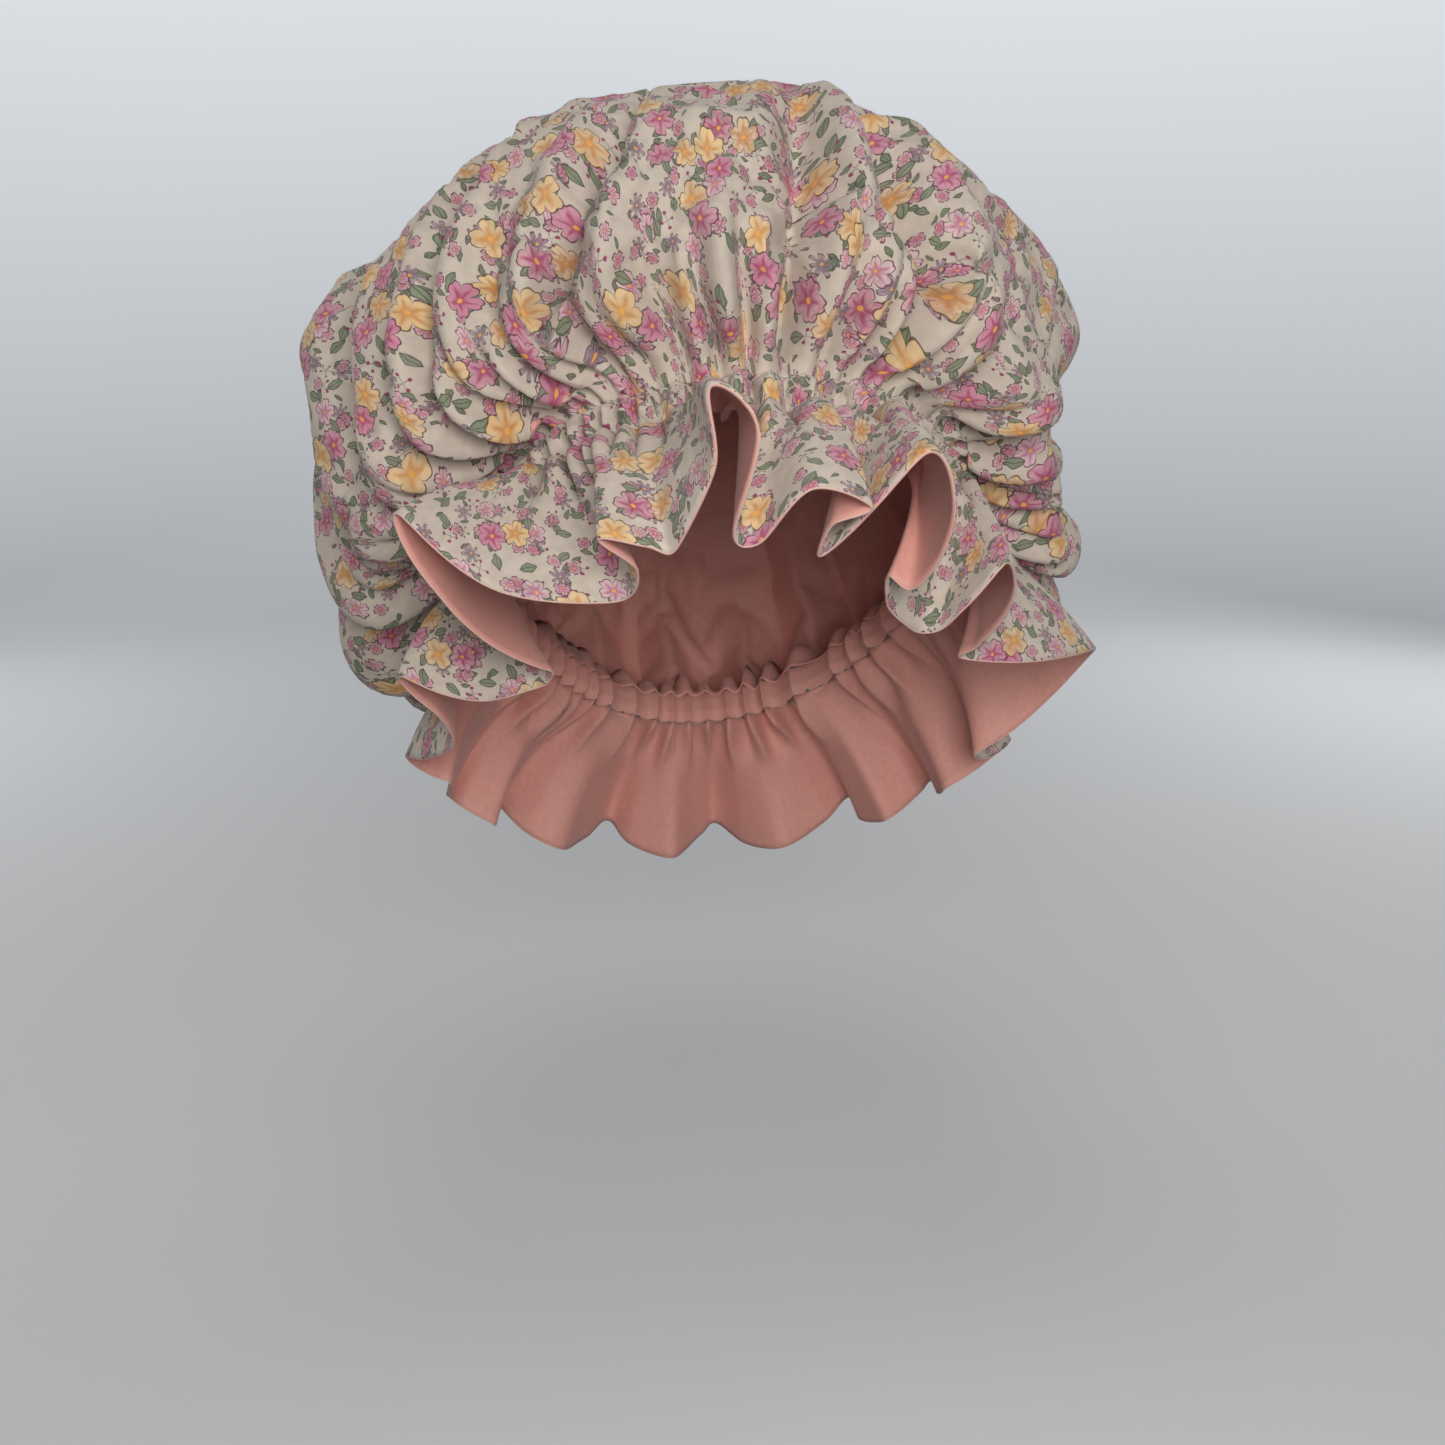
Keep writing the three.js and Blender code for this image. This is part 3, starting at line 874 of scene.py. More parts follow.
@dataclass(frozen=True)
class BackdropPaper:
    """Matt uncoated paper of the sweep, with painted light: it glows paler outwards and upwards, in place
    of the light on a lit backdrop.

    Attributes:
        body: Colour of the paper.
        light: Colour of its painted glow.
        reach_m: Where the glow begins and ends, outwards from the middle.
        rise_m: Where the glow begins and ends, upwards.
        far_glow: Strength that it gains outwards.
        high_glow: Strength that it gains upwards.
    """

    body: str = "#d9dde1"
    light: str = "#f4f9ff"
    reach_m: tuple[float, float] = (0.2, 2.1)
    rise_m: tuple[float, float] = (-0.24, 0.65)
    far_glow: float = 0.3
    high_glow: float = 0.34

    def build(self) -> bpy.types.Material:
        """Makes the material on object coordinates.

        Returns:
            The new material.
        """
        material, shader = new_material("backdrop_paper_painted_glow")
        tree = material.node_tree
        near, far = self.reach_m
        low, high = self.rise_m
        outwards = {"Value": "reach.Value", 1: near, 2: far, 3: 0.0, 4: self.far_glow}
        upwards = {"Value": "at.Z", 1: low, 2: high, 3: 0.0, 4: self.high_glow}
        known = wire(tree, {}, (
            ("place", "TexCoord", {}, {}),
            ("at", "SeparateXYZ", {}, {"Vector": "place.Object"}),
            ("level", "VectorMath", MULTIPLY, {0: "place.Object", 1: (1.0, 1.0, 0.0)}),
            ("reach", "VectorMath", LENGTH, {0: "level"}),
            ("far", "MapRange", {"interpolation_type": "SMOOTHSTEP"}, outwards),
            ("high", "MapRange", {}, upwards),
            ("glow", "Math", ADD, {0: "far", 1: "high"}),
        ))
        # Painted light: the emission makes the paper paler outwards and upwards
        tree.links.new(known["glow"], shader.inputs["Emission Strength"])
        shader.inputs["Emission Color"].default_value = linear(self.light)
        shader.inputs["Base Color"].default_value = linear(self.body)
        shader.inputs["Roughness"].default_value = 0.7
        return material


@dataclass(frozen=True)
class Drape:
    """Short cloth simulation that lets a sheet buckle into its own wrinkles.

    Attributes:
        columns: Columns of the simulated grid.
        rows: Rows of the simulated grid.
        frames: Frames that the cloth runs for.
        growth: How much more cloth there is than its first shape takes up, which makes it buckle.
        stiffness: Stiffness of the cloth along its threads.
        bending: Bending stiffness of the cloth.
        hold: Pull of each point back to its first place, away from the casing.
        reach_mm: Most that a point may move.
    """

    columns: int = 240
    rows: int = 60
    frames: int = 18
    growth: float = 0.065
    stiffness: float = 15.0
    bending: float = 0.8
    hold: float = 0.2
    reach_mm: float = 7.0

    def run(self, points: Array, free: Array) -> Array:
        """Runs the cloth and reads how far each point moved.

        Args:
            points: Grid of points in millimetres, joined round its columns.
            free: How free each row is, from 0 at the casing to 1.

        Returns:
            Movement of each point in millimetres.
        """
        rows, columns = points.shape[:2]
        here = np.arange(columns)[None, :]
        after = (here + 1) % columns
        upper = np.arange(rows - 1)[:, None] * columns
        lower = upper + columns
        quads = np.stack([upper + here, lower + here, lower + after, upper + after], axis=-1)
        sheet = mesh_object("draping_sheet", points.reshape(-1, 3), quads.reshape(-1, 4).tolist(), None)
        pins = sheet.vertex_groups.new(name="held")
        for row in range(rows):
            weight = 1.0 - float(free[row]) * (1 - self.hold)
            pins.add(list(range(row * columns, (row + 1) * columns)), weight, "REPLACE")
        cloth = sheet.modifiers.new("cloth", "CLOTH")
        settings = cloth.settings
        settings.quality = 7
        settings.mass = 0.0004
        settings.air_damping = 2.0
        settings.shrink_min = settings.shrink_max = -self.growth
        settings.tension_stiffness = settings.compression_stiffness = self.stiffness
        settings.shear_stiffness = self.stiffness / 4
        settings.bending_stiffness = self.bending
        settings.vertex_group_mass = "held"
        settings.pin_stiffness = 1.0
        settings.effector_weights.gravity = 0.0
        cloth.collision_settings.use_collision = False
        cloth.point_cache.frame_end = self.frames
        scene = bpy.context.scene
        for frame in range(1, self.frames + 1):
            scene.frame_set(frame)
        moved = sheet.evaluated_get(bpy.context.evaluated_depsgraph_get()).data
        places = np.empty(rows * columns * 3, dtype=np.float32)
        moved.vertices.foreach_get("co", places)
        scene.frame_set(1)
        bpy.data.objects.remove(sheet)
        shift = places.reshape(rows, columns, 3) / METRES - points
        length = np.linalg.norm(shift, axis=-1, keepdims=True)
        LOG.info("drape moved the cloth %.1f mm on average, %.1f at most", length.mean(), length.max())
        return shift * np.minimum(1, self.reach_mm / np.maximum(length, 1e-6))


@dataclass(frozen=True)
class CrownSection:
    """Section of the crown. Reaches and rises are shares of the crown's own.

    Attributes:
        way: Share of the cloth from the top.
        opening: How far it follows the opening's outline.
        front: Reach and rise at the front.
        side: Reach and rise at the sides.
        back: Reach and rise at the back.
        fold: Share of the fold depth.
    """

    way: float
    opening: float
    front: tuple[float, float]
    side: tuple[float, float]
    back: tuple[float, float]
    fold: float


@dataclass(frozen=True)
class Valley:
    """Valley between two folds of the crown.

    Attributes:
        foot: Azimuth on the casing.
        head: Azimuth at the widest part.
        start: Way at which it begins.
        depth: Share of the fold depth.
        crest: Place of the next crest, as a share of the way to the next valley.
    """

    foot: float
    head: float
    start: float
    depth: float
    crest: float


@dataclass(frozen=True)
class Dent:
    """Broad hollow in the crown, or a swell where the depth is negative.

    Attributes:
        azimuth: Its middle round the crown.
        way: Its middle down the crown.
        spread: Half width in degrees.
        length: Half length in way.
        depth: Share of the fold depth.
    """

    azimuth: float
    way: float
    spread: float
    length: float
    depth: float


@dataclass
class Crown:
    """Puffed bag of the bonnet in two layers of cloth, gathered into the casing.

    Attributes:
        opening: Head opening that it's gathered round.
        gathers: Tucks of the elastic.
        reach: Largest distance of its crests from the middle of the opening, in millimetres.
        rise: Height of its top over the middle of the opening.
        fold_depth: Depth of a full valley.
        cloth: Thickness of each layer.
        layer_gap: Air between the layers.
        tuck_depth: Depth of the single tucks at the casing and how much deeper they get above it.
        pair_depth: Depth of the creases that the tucks run together into.
        crease_length: Mean length of those creases, and how much it varies.
        ripple_depth: Depths of the fine and the broad ripples.
        hidden: Share of the cloth that the tucks hide at the casing.
        columns: Columns of the grid.
        rows: Rows of the grid.
        drape: Simulation that wrinkles it.
        sections: Sections from the top to the casing.
        valleys: Valleys round it.
        dents: Broad hollows and swells.
    """

    opening: Opening
    gathers: Gathers
    reach: float = 140.0
    rise: float = 145.0
    fold_depth: float = 22.0
    cloth: float = 0.45
    layer_gap: float = 0.25
    tuck_depth: tuple[float, float] = (1.5, 5.6)
    pair_depth: float = 4.4
    crease_length: tuple[float, float] = (92.0, 30.0)
    ripple_depth: tuple[float, float] = (0.35, 0.9)
    hidden: float = 0.68
    columns: int = 480
    rows: int = 100
    drape: Drape = Drape()
    sections: tuple[CrownSection, ...] = (
        CrownSection(0.14, 0, (0.3, 0.99), (0.29, 0.98), (0.29, 0.97), 0),
        CrownSection(0.3, 0, (0.62, 0.95), (0.6, 0.9), (0.61, 0.88), 0.12),
        CrownSection(0.46, 0, (0.89, 0.77), (0.86, 0.69), (0.89, 0.67), 0.4),
        CrownSection(0.6, 0, (1, 0.54), (0.98, 0.42), (1.03, 0.4), 0.75),
        CrownSection(0.73, 0, (1.01, 0.33), (0.97, 0.12), (1.05, 0.16), 1),
        CrownSection(0.84, 0.1, (0.95, 0.19), (0.86, -0.04), (0.98, 0.03), 0.8),
        CrownSection(0.93, 0.72, (0.9, 0.11), (0.8, 0.08), (0.95, 0.075), 0.25),
        CrownSection(1, 1, (0.86, 0.043), (0.76, 0.043), (0.9, 0.043), 0),
    )
    valleys: tuple[Valley, ...] = (
        Valley(4, 8, 0.36, 1.2, 0.5),
        Valley(24, 15, 0.36, 1.15, 0.42),
        Valley(36, 40, 0.5, 0.5, 0.6),
        Valley(50, 90, 0.3, 1.9, 0.45),
        Valley(67, 103, 0.5, 0.5, 0.5),
        Valley(86, 114, 0.4, 0.8, 0.5),
        Valley(104, 124, 0.45, 0.7, 0.5),
        Valley(120, 134, 0.35, 0.9, 0.45),
        Valley(136, 144, 0.4, 0.7, 0.5),
        Valley(151, 156, 0.3, 1, 0.55),
        Valley(167, 169, 0.45, 0.7, 0.5),
        Valley(182, 183, 0.35, 0.9, 0.5),
        Valley(198, 196, 0.4, 0.75, 0.45),
        Valley(213, 210, 0.3, 1, 0.5),
        Valley(229, 224, 0.45, 0.7, 0.5),
        Valley(244, 240, 0.35, 0.9, 0.5),
        Valley(260, 258, 0.4, 0.75, 0.5),
        Valley(276, 278, 0.45, 0.6, 0.5),
        Valley(290, 302, 0.35, 0.8, 0.5),
        Valley(302, 313, 0.55, 0.6, 0.5),
        Valley(310, 325, 0.24, 1.25, 0.35),
        Valley(319, 336, 0.45, 0.5, 0.5),
        Valley(331, 347, 0.4, 1.0, 0.4),
        Valley(346, 356, 0.6, 0.5, 0.5),
    )
    dents: tuple[Dent, ...] = (
        Dent(34, 0.44, 16, 0.12, 0.45),
        Dent(66, 0.74, 14, 0.1, 1.1),
        Dent(90, 0.62, 15, 0.09, 0.7),
        Dent(104, 0.8, 12, 0.1, -0.3),
        Dent(246, 0.8, 14, 0.12, -0.6),
        Dent(284, 0.52, 12, 0.14, -0.5),
        Dent(306, 0.46, 12, 0.12, 0.35),
        Dent(354, 0.42, 22, 0.14, 0.32),
    )

    def column_of_sections(self, read: str, part: int, way: Array) -> Array:
        """Smooth values of one column of the section table.

        Args:
            read: Field of the section.
            part: 0 for the reach and 1 for the rise, or -1 for a plain number.
            way: Ways at which it is read.

        Returns:
            The values.
        """
        rows = [getattr(section, read) for section in self.sections]
        values = [row if part < 0 else row[part] for row in rows]
        knots = [section.way for section in self.sections]
        # The table is mirrored about the top, so that the crown closes flat there
        top = 1.0 if part == 1 else 0.0
        sign = -1.0 if part == 0 else 1.0
        knots = [-knots[0], 0.0, *knots]
        values = [sign * values[0], top, *values]
        return through(np.array(knots), np.array(values, dtype=float), way)

    def envelope(self, azimuth: Array, way: Array) -> Array:
        """Crown over the crests of its folds.

        Args:
            azimuth: Row of azimuths.
            way: Column of ways.

        Returns:
            Points, ways by azimuths.
        """
        angle = np.radians(azimuth)[None, :]
        along = np.cos(angle)
        share = along * along
        ways = way[:, None]
        column = {name: (self.column_of_sections(name, 0, ways), self.column_of_sections(name, 1, ways))
                  for name in ("front", "side", "back")}
        ahead = smoothstep(along, -0.15, 0.15)
        reach_ends = lerp(column["back"][0], column["front"][0], ahead)
        rise_ends = lerp(column["back"][1], column["front"][1], ahead)
        reach = self.reach * lerp(column["side"][0], reach_ends, share)
        rise = self.rise * lerp(column["side"][1], rise_ends, share)
        circle = (
            self.opening.forward * (reach * along)[..., None]
            + self.opening.across * (reach * np.sin(angle))[..., None]
            + self.opening.outward * rise[..., None]
        )
        around = np.broadcast_to(azimuth[None, :], rise.shape)
        outline = self.opening.point(around, rise, np.full(rise.shape, 0.6))
        follow = np.clip(self.column_of_sections("opening", -1, ways), 0, 1)[..., None]
        return lerp(circle, outline, follow)

    def valley_share(self, azimuth: Array, way: Array) -> Array:
        """Inward share of the valleys, 0 on a crest and up to a valley's depth in its bottom.

        Args:
            azimuth: Row of azimuths.
            way: Column of ways.

        Returns:
            Shares, ways by azimuths.
        """
        turn = smoothstep(way, 0.4, 1)[:, None]
        sharpness = smoothstep(way, 0.3, 0.8)[:, None]
        total = np.zeros((len(way), len(azimuth)))
        for number, valley in enumerate(self.valleys):
            after = self.valleys[(number + 1) % len(self.valleys)]
            start = lerp(valley.head, valley.foot, turn)
            span = (lerp(after.head, after.foot, turn) - start) % 360
            past = (azimuth[None, :] - start) % 360
            place = np.clip(past / span, 0, 1) ** (math.log(0.5) / math.log(valley.crest))
            here = valley.depth * smoothstep(way, valley.start, valley.start + 0.3)[:, None]
            there = after.depth * smoothstep(way, after.start, after.start + 0.3)[:, None]
            soft = 0.5 + 0.5 * np.cos(2 * math.pi * place)
            sharp = (2 * place - 1) ** 2
            profile = lerp(soft, sharp, sharpness)
            total = np.where(past < span, lerp(here, there, smoothstep(place, 0, 1)) * profile, total)
        return total

    def dent_share(self, azimuth: Array, way: Array) -> Array:
        """Inward share of the broad hollows, ways by azimuths."""
        total = np.zeros((len(way), len(azimuth)))
        for dent in self.dents:
            turn = (azimuth[None, :] - dent.azimuth + 180) % 360 - 180
            fall = (turn / dent.spread) ** 2 + ((way[:, None] - dent.way) / dent.length) ** 2
            total += dent.depth * np.exp(-fall)
        return total

    def surface(self, columns: int, rows: int) -> tuple[Array, Array]:
        """Outer face of the printed cloth before it is draped.

        Args:
            columns: Columns of the grid.
            rows: Rows of the grid.

        Returns:
            Points in millimetres and their place on the flat cloth.
        """
        azimuth = 360 * np.arange(columns) / columns
        # The first row stands a little off the pole, which closes it
        way = np.linspace(0.012, 1, rows)
        base = self.envelope(azimuth, way)
        normals = grid_normals(base)
        above = row_lengths(base)[-1] - row_lengths(base)
        fold = np.clip(self.column_of_sections("fold", -1, way[:, None]), 0, 1)
        inward = self.fold_depth * (fold * self.valley_share(azimuth, way) + self.dent_share(azimuth, way))
        tucks = self.tuck_depth[0] + self.tuck_depth[1] * smoothstep(above, 0, 12)
        tucks = tucks * (1 - smoothstep(above, 14, 62))
        uneven = Ripples(5, 7, (3, 14), 0.0).read(azimuth[None, :], way[:, None])
        length = self.crease_length[0] + self.crease_length[1] * uneven
        pairs = self.pair_depth * smoothstep(above, 4, 26) * (1 - smoothstep(above / length, 0.25, 1))
        gathered = tucks * self.gathers.fine(azimuth)[None, :]
        gathered = gathered + pairs * self.gathers.paired(azimuth)[None, :]
        fine = Ripples(11, 26, (5, 40), 2.5).read(azimuth[None, :], way[:, None])
        broad = Ripples(4, 12, (2, 9), 1.6).read(azimuth[None, :], way[:, None])
        loose = smoothstep(way, 0.05, 0.3)[:, None] * smoothstep(above, 0, 40)
        shift = gathered - inward + loose * (self.ripple_depth[0] * fine + self.ripple_depth[1] * broad)
        points = base + normals * shift[..., None]
        hidden = self.hidden * (1 - smoothstep(above, 8, 70))
        angle = np.radians(self.gathers.drawn(azimuth[None, :], hidden))
        run = row_lengths(base) + np.linalg.norm(base[0] - self.opening.outward * self.rise, axis=-1)
        flat = np.stack([run * np.sin(angle), run * np.cos(angle)], axis=-1)
        return points, flat

    def wrinkles(self) -> Array:
        """Movement of the crown's points as its cloth buckles, read off a coarser draped grid.

        Returns:
            Movement in millimetres on the fine grid.
        """
        points, _ = self.surface(self.drape.columns, self.drape.rows)
        above = (row_lengths(points)[-1] - row_lengths(points)).mean(axis=1)
        # The top is half held, and the tucks near the casing keep their shape
        loose = 0.55 + 0.45 * smoothstep(np.linspace(0, 1, self.drape.rows), 0.25, 0.55)
        shift = self.drape.run(points, loose * smoothstep(above, 5, 40))
        columns = np.arange(self.columns) * self.drape.columns / self.columns
        first = np.floor(columns).astype(int)
        near = [shift[:, (first + step) % self.drape.columns] for step in (-1, 0, 1, 2)]
        wide = glide(near, (columns - first)[None, :, None])
        last = self.drape.rows - 1
        rows = np.linspace(0, last, self.rows)
        low = np.clip(np.floor(rows).astype(int), 0, last - 1)
        near = [wide[np.clip(low + step, 0, last)] for step in (-1, 0, 1, 2)]
        return glide(near, (rows - low)[:, None, None])

    def build(self) -> tuple[bpy.types.Object, bpy.types.Object]:
        """Makes both layers of the crown.

        Returns:
            The printed crown and its lining.
        """
        outer, flat = self.surface(self.columns, self.rows)
        outer = outer + self.wrinkles()
        normals = grid_normals(outer)
        normals[-1] = self.opening.normal(360 * np.arange(self.columns) / self.columns)
        depths = (0.0, self.cloth, self.cloth + self.layer_gap, 2 * self.cloth + self.layer_gap)
        faces = [outer - normals * depth for depth in depths]
        tops = [self.opening.outward * (self.rise - depth) for depth in depths]
        printed = SheetMesh(faces[0], faces[1], flat, np.array(tops[:2])).build("crown_print")
        lining = SheetMesh(faces[2], faces[3], flat, np.array(tops[2:])).build("crown_lining")
        return printed, lining


@dataclass
class Casing:
    """Stitched channel round the head opening, scrunched by the elastic inside it.

    Attributes:
        opening: Head opening.
        gathers: Tucks of the elastic.
        half_height: Half of its height in millimetres.
        half_thick: Distance of its inner face from the outline.
        edge_puff: Distance of its outer face from the outline at the stitch rows.
        middle_puff: How much further out it stands over the elastic.
        edge_tucks: Depth of the tucks at the stitch rows.
        middle_tucks: How much deeper they are over the elastic.
        crumple: Depth of its small creases.
        hidden: Share of the cloth that the tucks hide.
        cloth_run: Cloth from the middle of the crown's top to the middle of the channel.
        columns: Columns of the grid.
        levels: Rows of each face.
        stitch_mm: Length of a stitch.
        stitch_place: Place of the stitch rows, as a share of the half height.
        thread_radius: Radius of the thread.
    """

    opening: Opening
    gathers: Gathers
    half_height: float = 6.0
    half_thick: float = 1.5
    edge_puff: float = 1.0
    middle_puff: float = 1.1
    edge_tucks: float = 1.5
    middle_tucks: float = 1.9
    crumple: float = 0.7
    hidden: float = 0.68
    cloth_run: float = 262.0
    columns: int = 1392
    levels: int = 14
    stitch_mm: float = 2.6
    stitch_place: float = 0.84
    thread_radius: float = 0.19

    def offset(self, azimuth: Array, height: Array) -> Array:
        """Distance of the outer face from the opening's outline, pinched at the two stitch rows."""
        share = height / self.half_height
        over = np.clip(1 - share * share, 0, 1)
        puff = self.edge_puff + self.middle_puff * over
        scrunch = self.edge_tucks + self.middle_tucks * over
        small = Ripples(31, 18, (60, 150), 1.2).read(azimuth, share)
        return puff + scrunch * self.gathers.fine(azimuth) + self.crumple * small

    def build(self) -> tuple[bpy.types.Object, list[bpy.types.Object]]:
        """Makes the band and its two rows of stitches.

        Returns:
            The band and the stitch rows.
        """
        azimuth = 360 * np.arange(self.columns) / self.columns
        heights = np.linspace(self.half_height, -self.half_height, self.levels)
        grid = np.broadcast_to(azimuth[None, :], (len(heights), self.columns))
        height = np.broadcast_to(heights[:, None], grid.shape)
        outer = self.opening.point(grid, height, self.offset(grid, height))
        # The inner face swings out at its edges to meet the linings of the ruffle and the crown
        meet = 1.9 * (1 - smoothstep(height, -6, -2)) + 0.9 * smoothstep(height, 3, 6)
        inner_offset = -self.half_thick + meet + self.edge_tucks * self.gathers.fine(grid)
        inner = self.opening.point(grid, height, inner_offset)
        angle = np.radians(self.gathers.drawn(grid, self.hidden))
        run = self.cloth_run - height
        flat = np.stack([run * np.sin(angle), run * np.cos(angle)], axis=-1)
        band = SheetMesh(outer, inner, flat).build("casing_band")
        for polygon in band.data.polygons[outer.shape[0] * self.columns :]:
            polygon.material_index = 1
        sides = (("top", 1), ("bottom", -1))
        return band, [self.stitch_row(f"casing_stitches_{name}", side) for name, side in sides]

    def stitch_row(self, name: str, side: int) -> bpy.types.Object:
        """Thread that dips into the cloth between stitches.

        Args:
            name: Name of the row.
            side: 1 for the upper row and -1 for the lower.

        Returns:
            The thread.
        """
        count = 2400
        azimuth = 360 * np.arange(count) / count
        height = np.full(count, side * self.half_height * self.stitch_place)
        offset = self.offset(azimuth, height)
        path = self.opening.point(azimuth, height, offset)
        run = np.cumsum(np.linalg.norm(path - np.roll(path, 1, axis=0), axis=-1))
        stitches = round(run[-1] / self.stitch_mm)
        wave = np.sin(math.pi * run / run[-1] * stitches) ** 2
        # Half a millimetre of dip sinks the thread between its stitches
        path = self.opening.point(azimuth, height, offset + 0.5 * wave - 0.32)
        return tube_object(name, path, 6, np.full(count, self.thread_radius))


@dataclass(frozen=True)
class Flute:
    """Flute of the ruffle. Each pair is the edge's sideways lean and drop, as shares of the width.

    Attributes:
        root: Azimuth on the casing.
        rise: Start of the flute.
        crest: Its highest part.
        fall: Its far side.
        trough: Its lowest part.
    """

    root: float
    rise: tuple[float, float]
    crest: tuple[float, float]
    fall: tuple[float, float]
    trough: tuple[float, float]


@dataclass
class Ruffle:
    """Deep fluted ruffle in two layers of cloth, with a rolled seam at its edge.

    Attributes:
        opening: Head opening.
        gathers: Tucks of the elastic.
        width: Width of its cloth from the casing to the edge, in millimetres.
        bulge: How far its middle stands off a straight line.
        foot: Height of its first row.
        cloth: Thickness of each layer.
        layer_gap: Air between the layers.
        tuck_depth: Depth of the tucks at the casing and how much deeper they get below it.
        hidden: Share of the cloth that the tucks hide at the casing.
        seam_radius: Radius of the rolled seam.
        columns_each: Columns of each flute.
        rows: Rows of the grid.
        flutes: Flutes round it.
    """

    opening: Opening
    gathers: Gathers
    width: float = 62.0
    bulge: float = 5.0
    foot: float = -6.1
    cloth: float = 0.42
    layer_gap: float = 0.12
    tuck_depth: tuple[float, float] = (1.5, 2.8)
    hidden: float = 0.42
    seam_radius: float = 0.3
    columns_each: int = 56
    rows: int = 26
    flutes: tuple[Flute, ...] = (
        Flute(1, (-0.2, 0.5), (-0.18, 0.28), (-0.09, 0.35), (-0.36, 0.46)),
        Flute(19, (-0.44, 0.62), (-0.4, 0.17), (-0.34, 0.38), (-0.31, 0.75)),
        Flute(37, (-0.5, 0.76), (-0.38, 0.88), (-0.22, 0.94), (-0.2, 0.93)),
        Flute(49, (-0.34, 0.84), (-0.54, 0.66), (-0.5, 0.73), (-0.3, 0.93)),
        Flute(71, (-0.19, 0.93), (0.18, 0.6), (0.3, 0.74), (0.25, 0.94)),
        Flute(109, (0.12, 0.96), (0.05, 0.84), (-0.06, 0.92), (-0.05, 0.995)),
        Flute(130, (0.06, 0.97), (0.08, 0.87), (-0.04, 0.93), (-0.06, 0.995)),
        Flute(150, (0.05, 0.96), (-0.04, 0.85), (-0.08, 0.94), (-0.02, 0.995)),
        Flute(170, (0.08, 0.97), (0.05, 0.88), (-0.06, 0.93), (-0.04, 0.995)),
        Flute(189, (0.04, 0.96), (-0.06, 0.86), (-0.06, 0.94), (0, 0.995)),
        Flute(208, (0.08, 0.97), (0.02, 0.85), (-0.04, 0.93), (0.04, 0.995)),
        Flute(228, (0.05, 0.96), (-0.12, 0.88), (-0.08, 0.95), (0.1, 0.98)),
        Flute(248, (-0.02, 0.94), (-0.2, 0.82), (-0.12, 0.92), (0.04, 0.98)),
        Flute(268, (0.22, 0.93), (0.25, 0.8), (0.12, 0.97), (0.32, 0.93)),
        Flute(297, (0.35, 0.64), (0.29, 0.22), (0.26, 0.64), (0.39, 0.8)),
        Flute(323, (0.44, 0.67), (0.28, 0.48), (0.3, 0.53), (0.27, 0.54)),
        Flute(341, (0.36, 0.22), (0.21, -0.12), (0.17, 0.04), (-0.14, 0.44)),
    )

    def turns(self) -> Array:
        """Turning points of the edge.

        Returns:
            Root azimuth, lean and drop of each, with the azimuths rising.
        """
        rows = []
        for number, flute in enumerate(self.flutes):
            after = self.flutes[(number + 1) % len(self.flutes)]
            span = (after.root - flute.root) % 360
            for turn, pair in enumerate((flute.rise, flute.crest, flute.fall, flute.trough)):
                rows.append((flute.root + span * turn / 4, *pair))
        return np.array(rows)

    def lines(self) -> tuple[Array, Array, Array]:
        """Every column, on a smooth curve through the turning points.

        Returns:
            Root azimuths, leans and drops.
        """
        turns = self.turns()
        count = len(turns)
        columns = self.columns_each * len(self.flutes)
        place = np.arange(columns) * count / columns
        first = np.floor(place).astype(int)
        share = (place - first)[:, None]
        near = [turns[(first + step) % count].copy() for step in (-1, 0, 1, 2)]
        for row in near:
            row[:, 0] = near[1][:, 0] + (row[:, 0] - near[1][:, 0] + 180) % 360 - 180
        value = glide(near, share)
        return value[:, 0], value[:, 1], value[:, 2]

    def surface(self) -> tuple[Array, Array]:
        """Middle of the ruffle's cloth.

        Returns:
            Points in millimetres, from the casing to the edge, and their place on the flat cloth.
        """
        root, lean, drop = self.lines()
        reach = np.sqrt(np.clip(1 - lean**2 - drop**2, 0, None))
        zero = np.zeros_like(root)
        ahead, behind = (self.opening.point(root + turn, zero, zero) for turn in (0.1, -0.1))
        along = unit(ahead - behind)
        up = np.array([0.0, 0.0, 1.0])
        down = unit(-up + along * (along @ up)[:, None])
        out = unit(np.cross(down, along))
        start = self.opening.point(root, zero + self.foot, 1.1 + 0 * zero)
        share = np.linspace(0, 1, self.rows)[:, None, None]
        bulge = 4 * self.bulge * share * (1 - share)
        points = (
            start[None]
            + along[None] * self.width * share * lean[None, :, None]
            + down[None] * (self.width * share * drop[None, :, None] - bulge * reach[None, :, None])
            + out[None] * (self.width * share * reach[None, :, None] + bulge * drop[None, :, None])
        )
        normals = grid_normals(points)
        normals[0] = self.opening.normal(root)
        width = share[..., 0]
        tucks = self.tuck_depth[0] + self.tuck_depth[1] * smoothstep(width, 0, 0.1)
        tucks = tucks * (1 - smoothstep(width, 0.14, 0.5))
        small = Ripples(7, 16, (10, 50), 0.8).read(root[None, :], width)
        shift = tucks * self.gathers.fine(root)[None, :] + 0.3 * smoothstep(width, 0, 0.3) * small
        points = points + normals * shift[..., None]
        edge = points[-1]
        run = np.concatenate([[0], np.cumsum(np.linalg.norm(np.diff(edge, axis=0), axis=-1))])
        whole = run[-1] + np.linalg.norm(edge[0] - edge[-1])
        hidden = self.hidden * (1 - smoothstep(width, 0.05, 0.6))
        angle = np.radians(self.gathers.drawn(root[None, :], hidden) - root) + (2 * math.pi * run / whole)
        radius = whole / (2 * math.pi) + self.width * (width - 1)
        flat = np.stack([radius * np.sin(angle), radius * np.cos(angle)], axis=-1)
        return points, flat

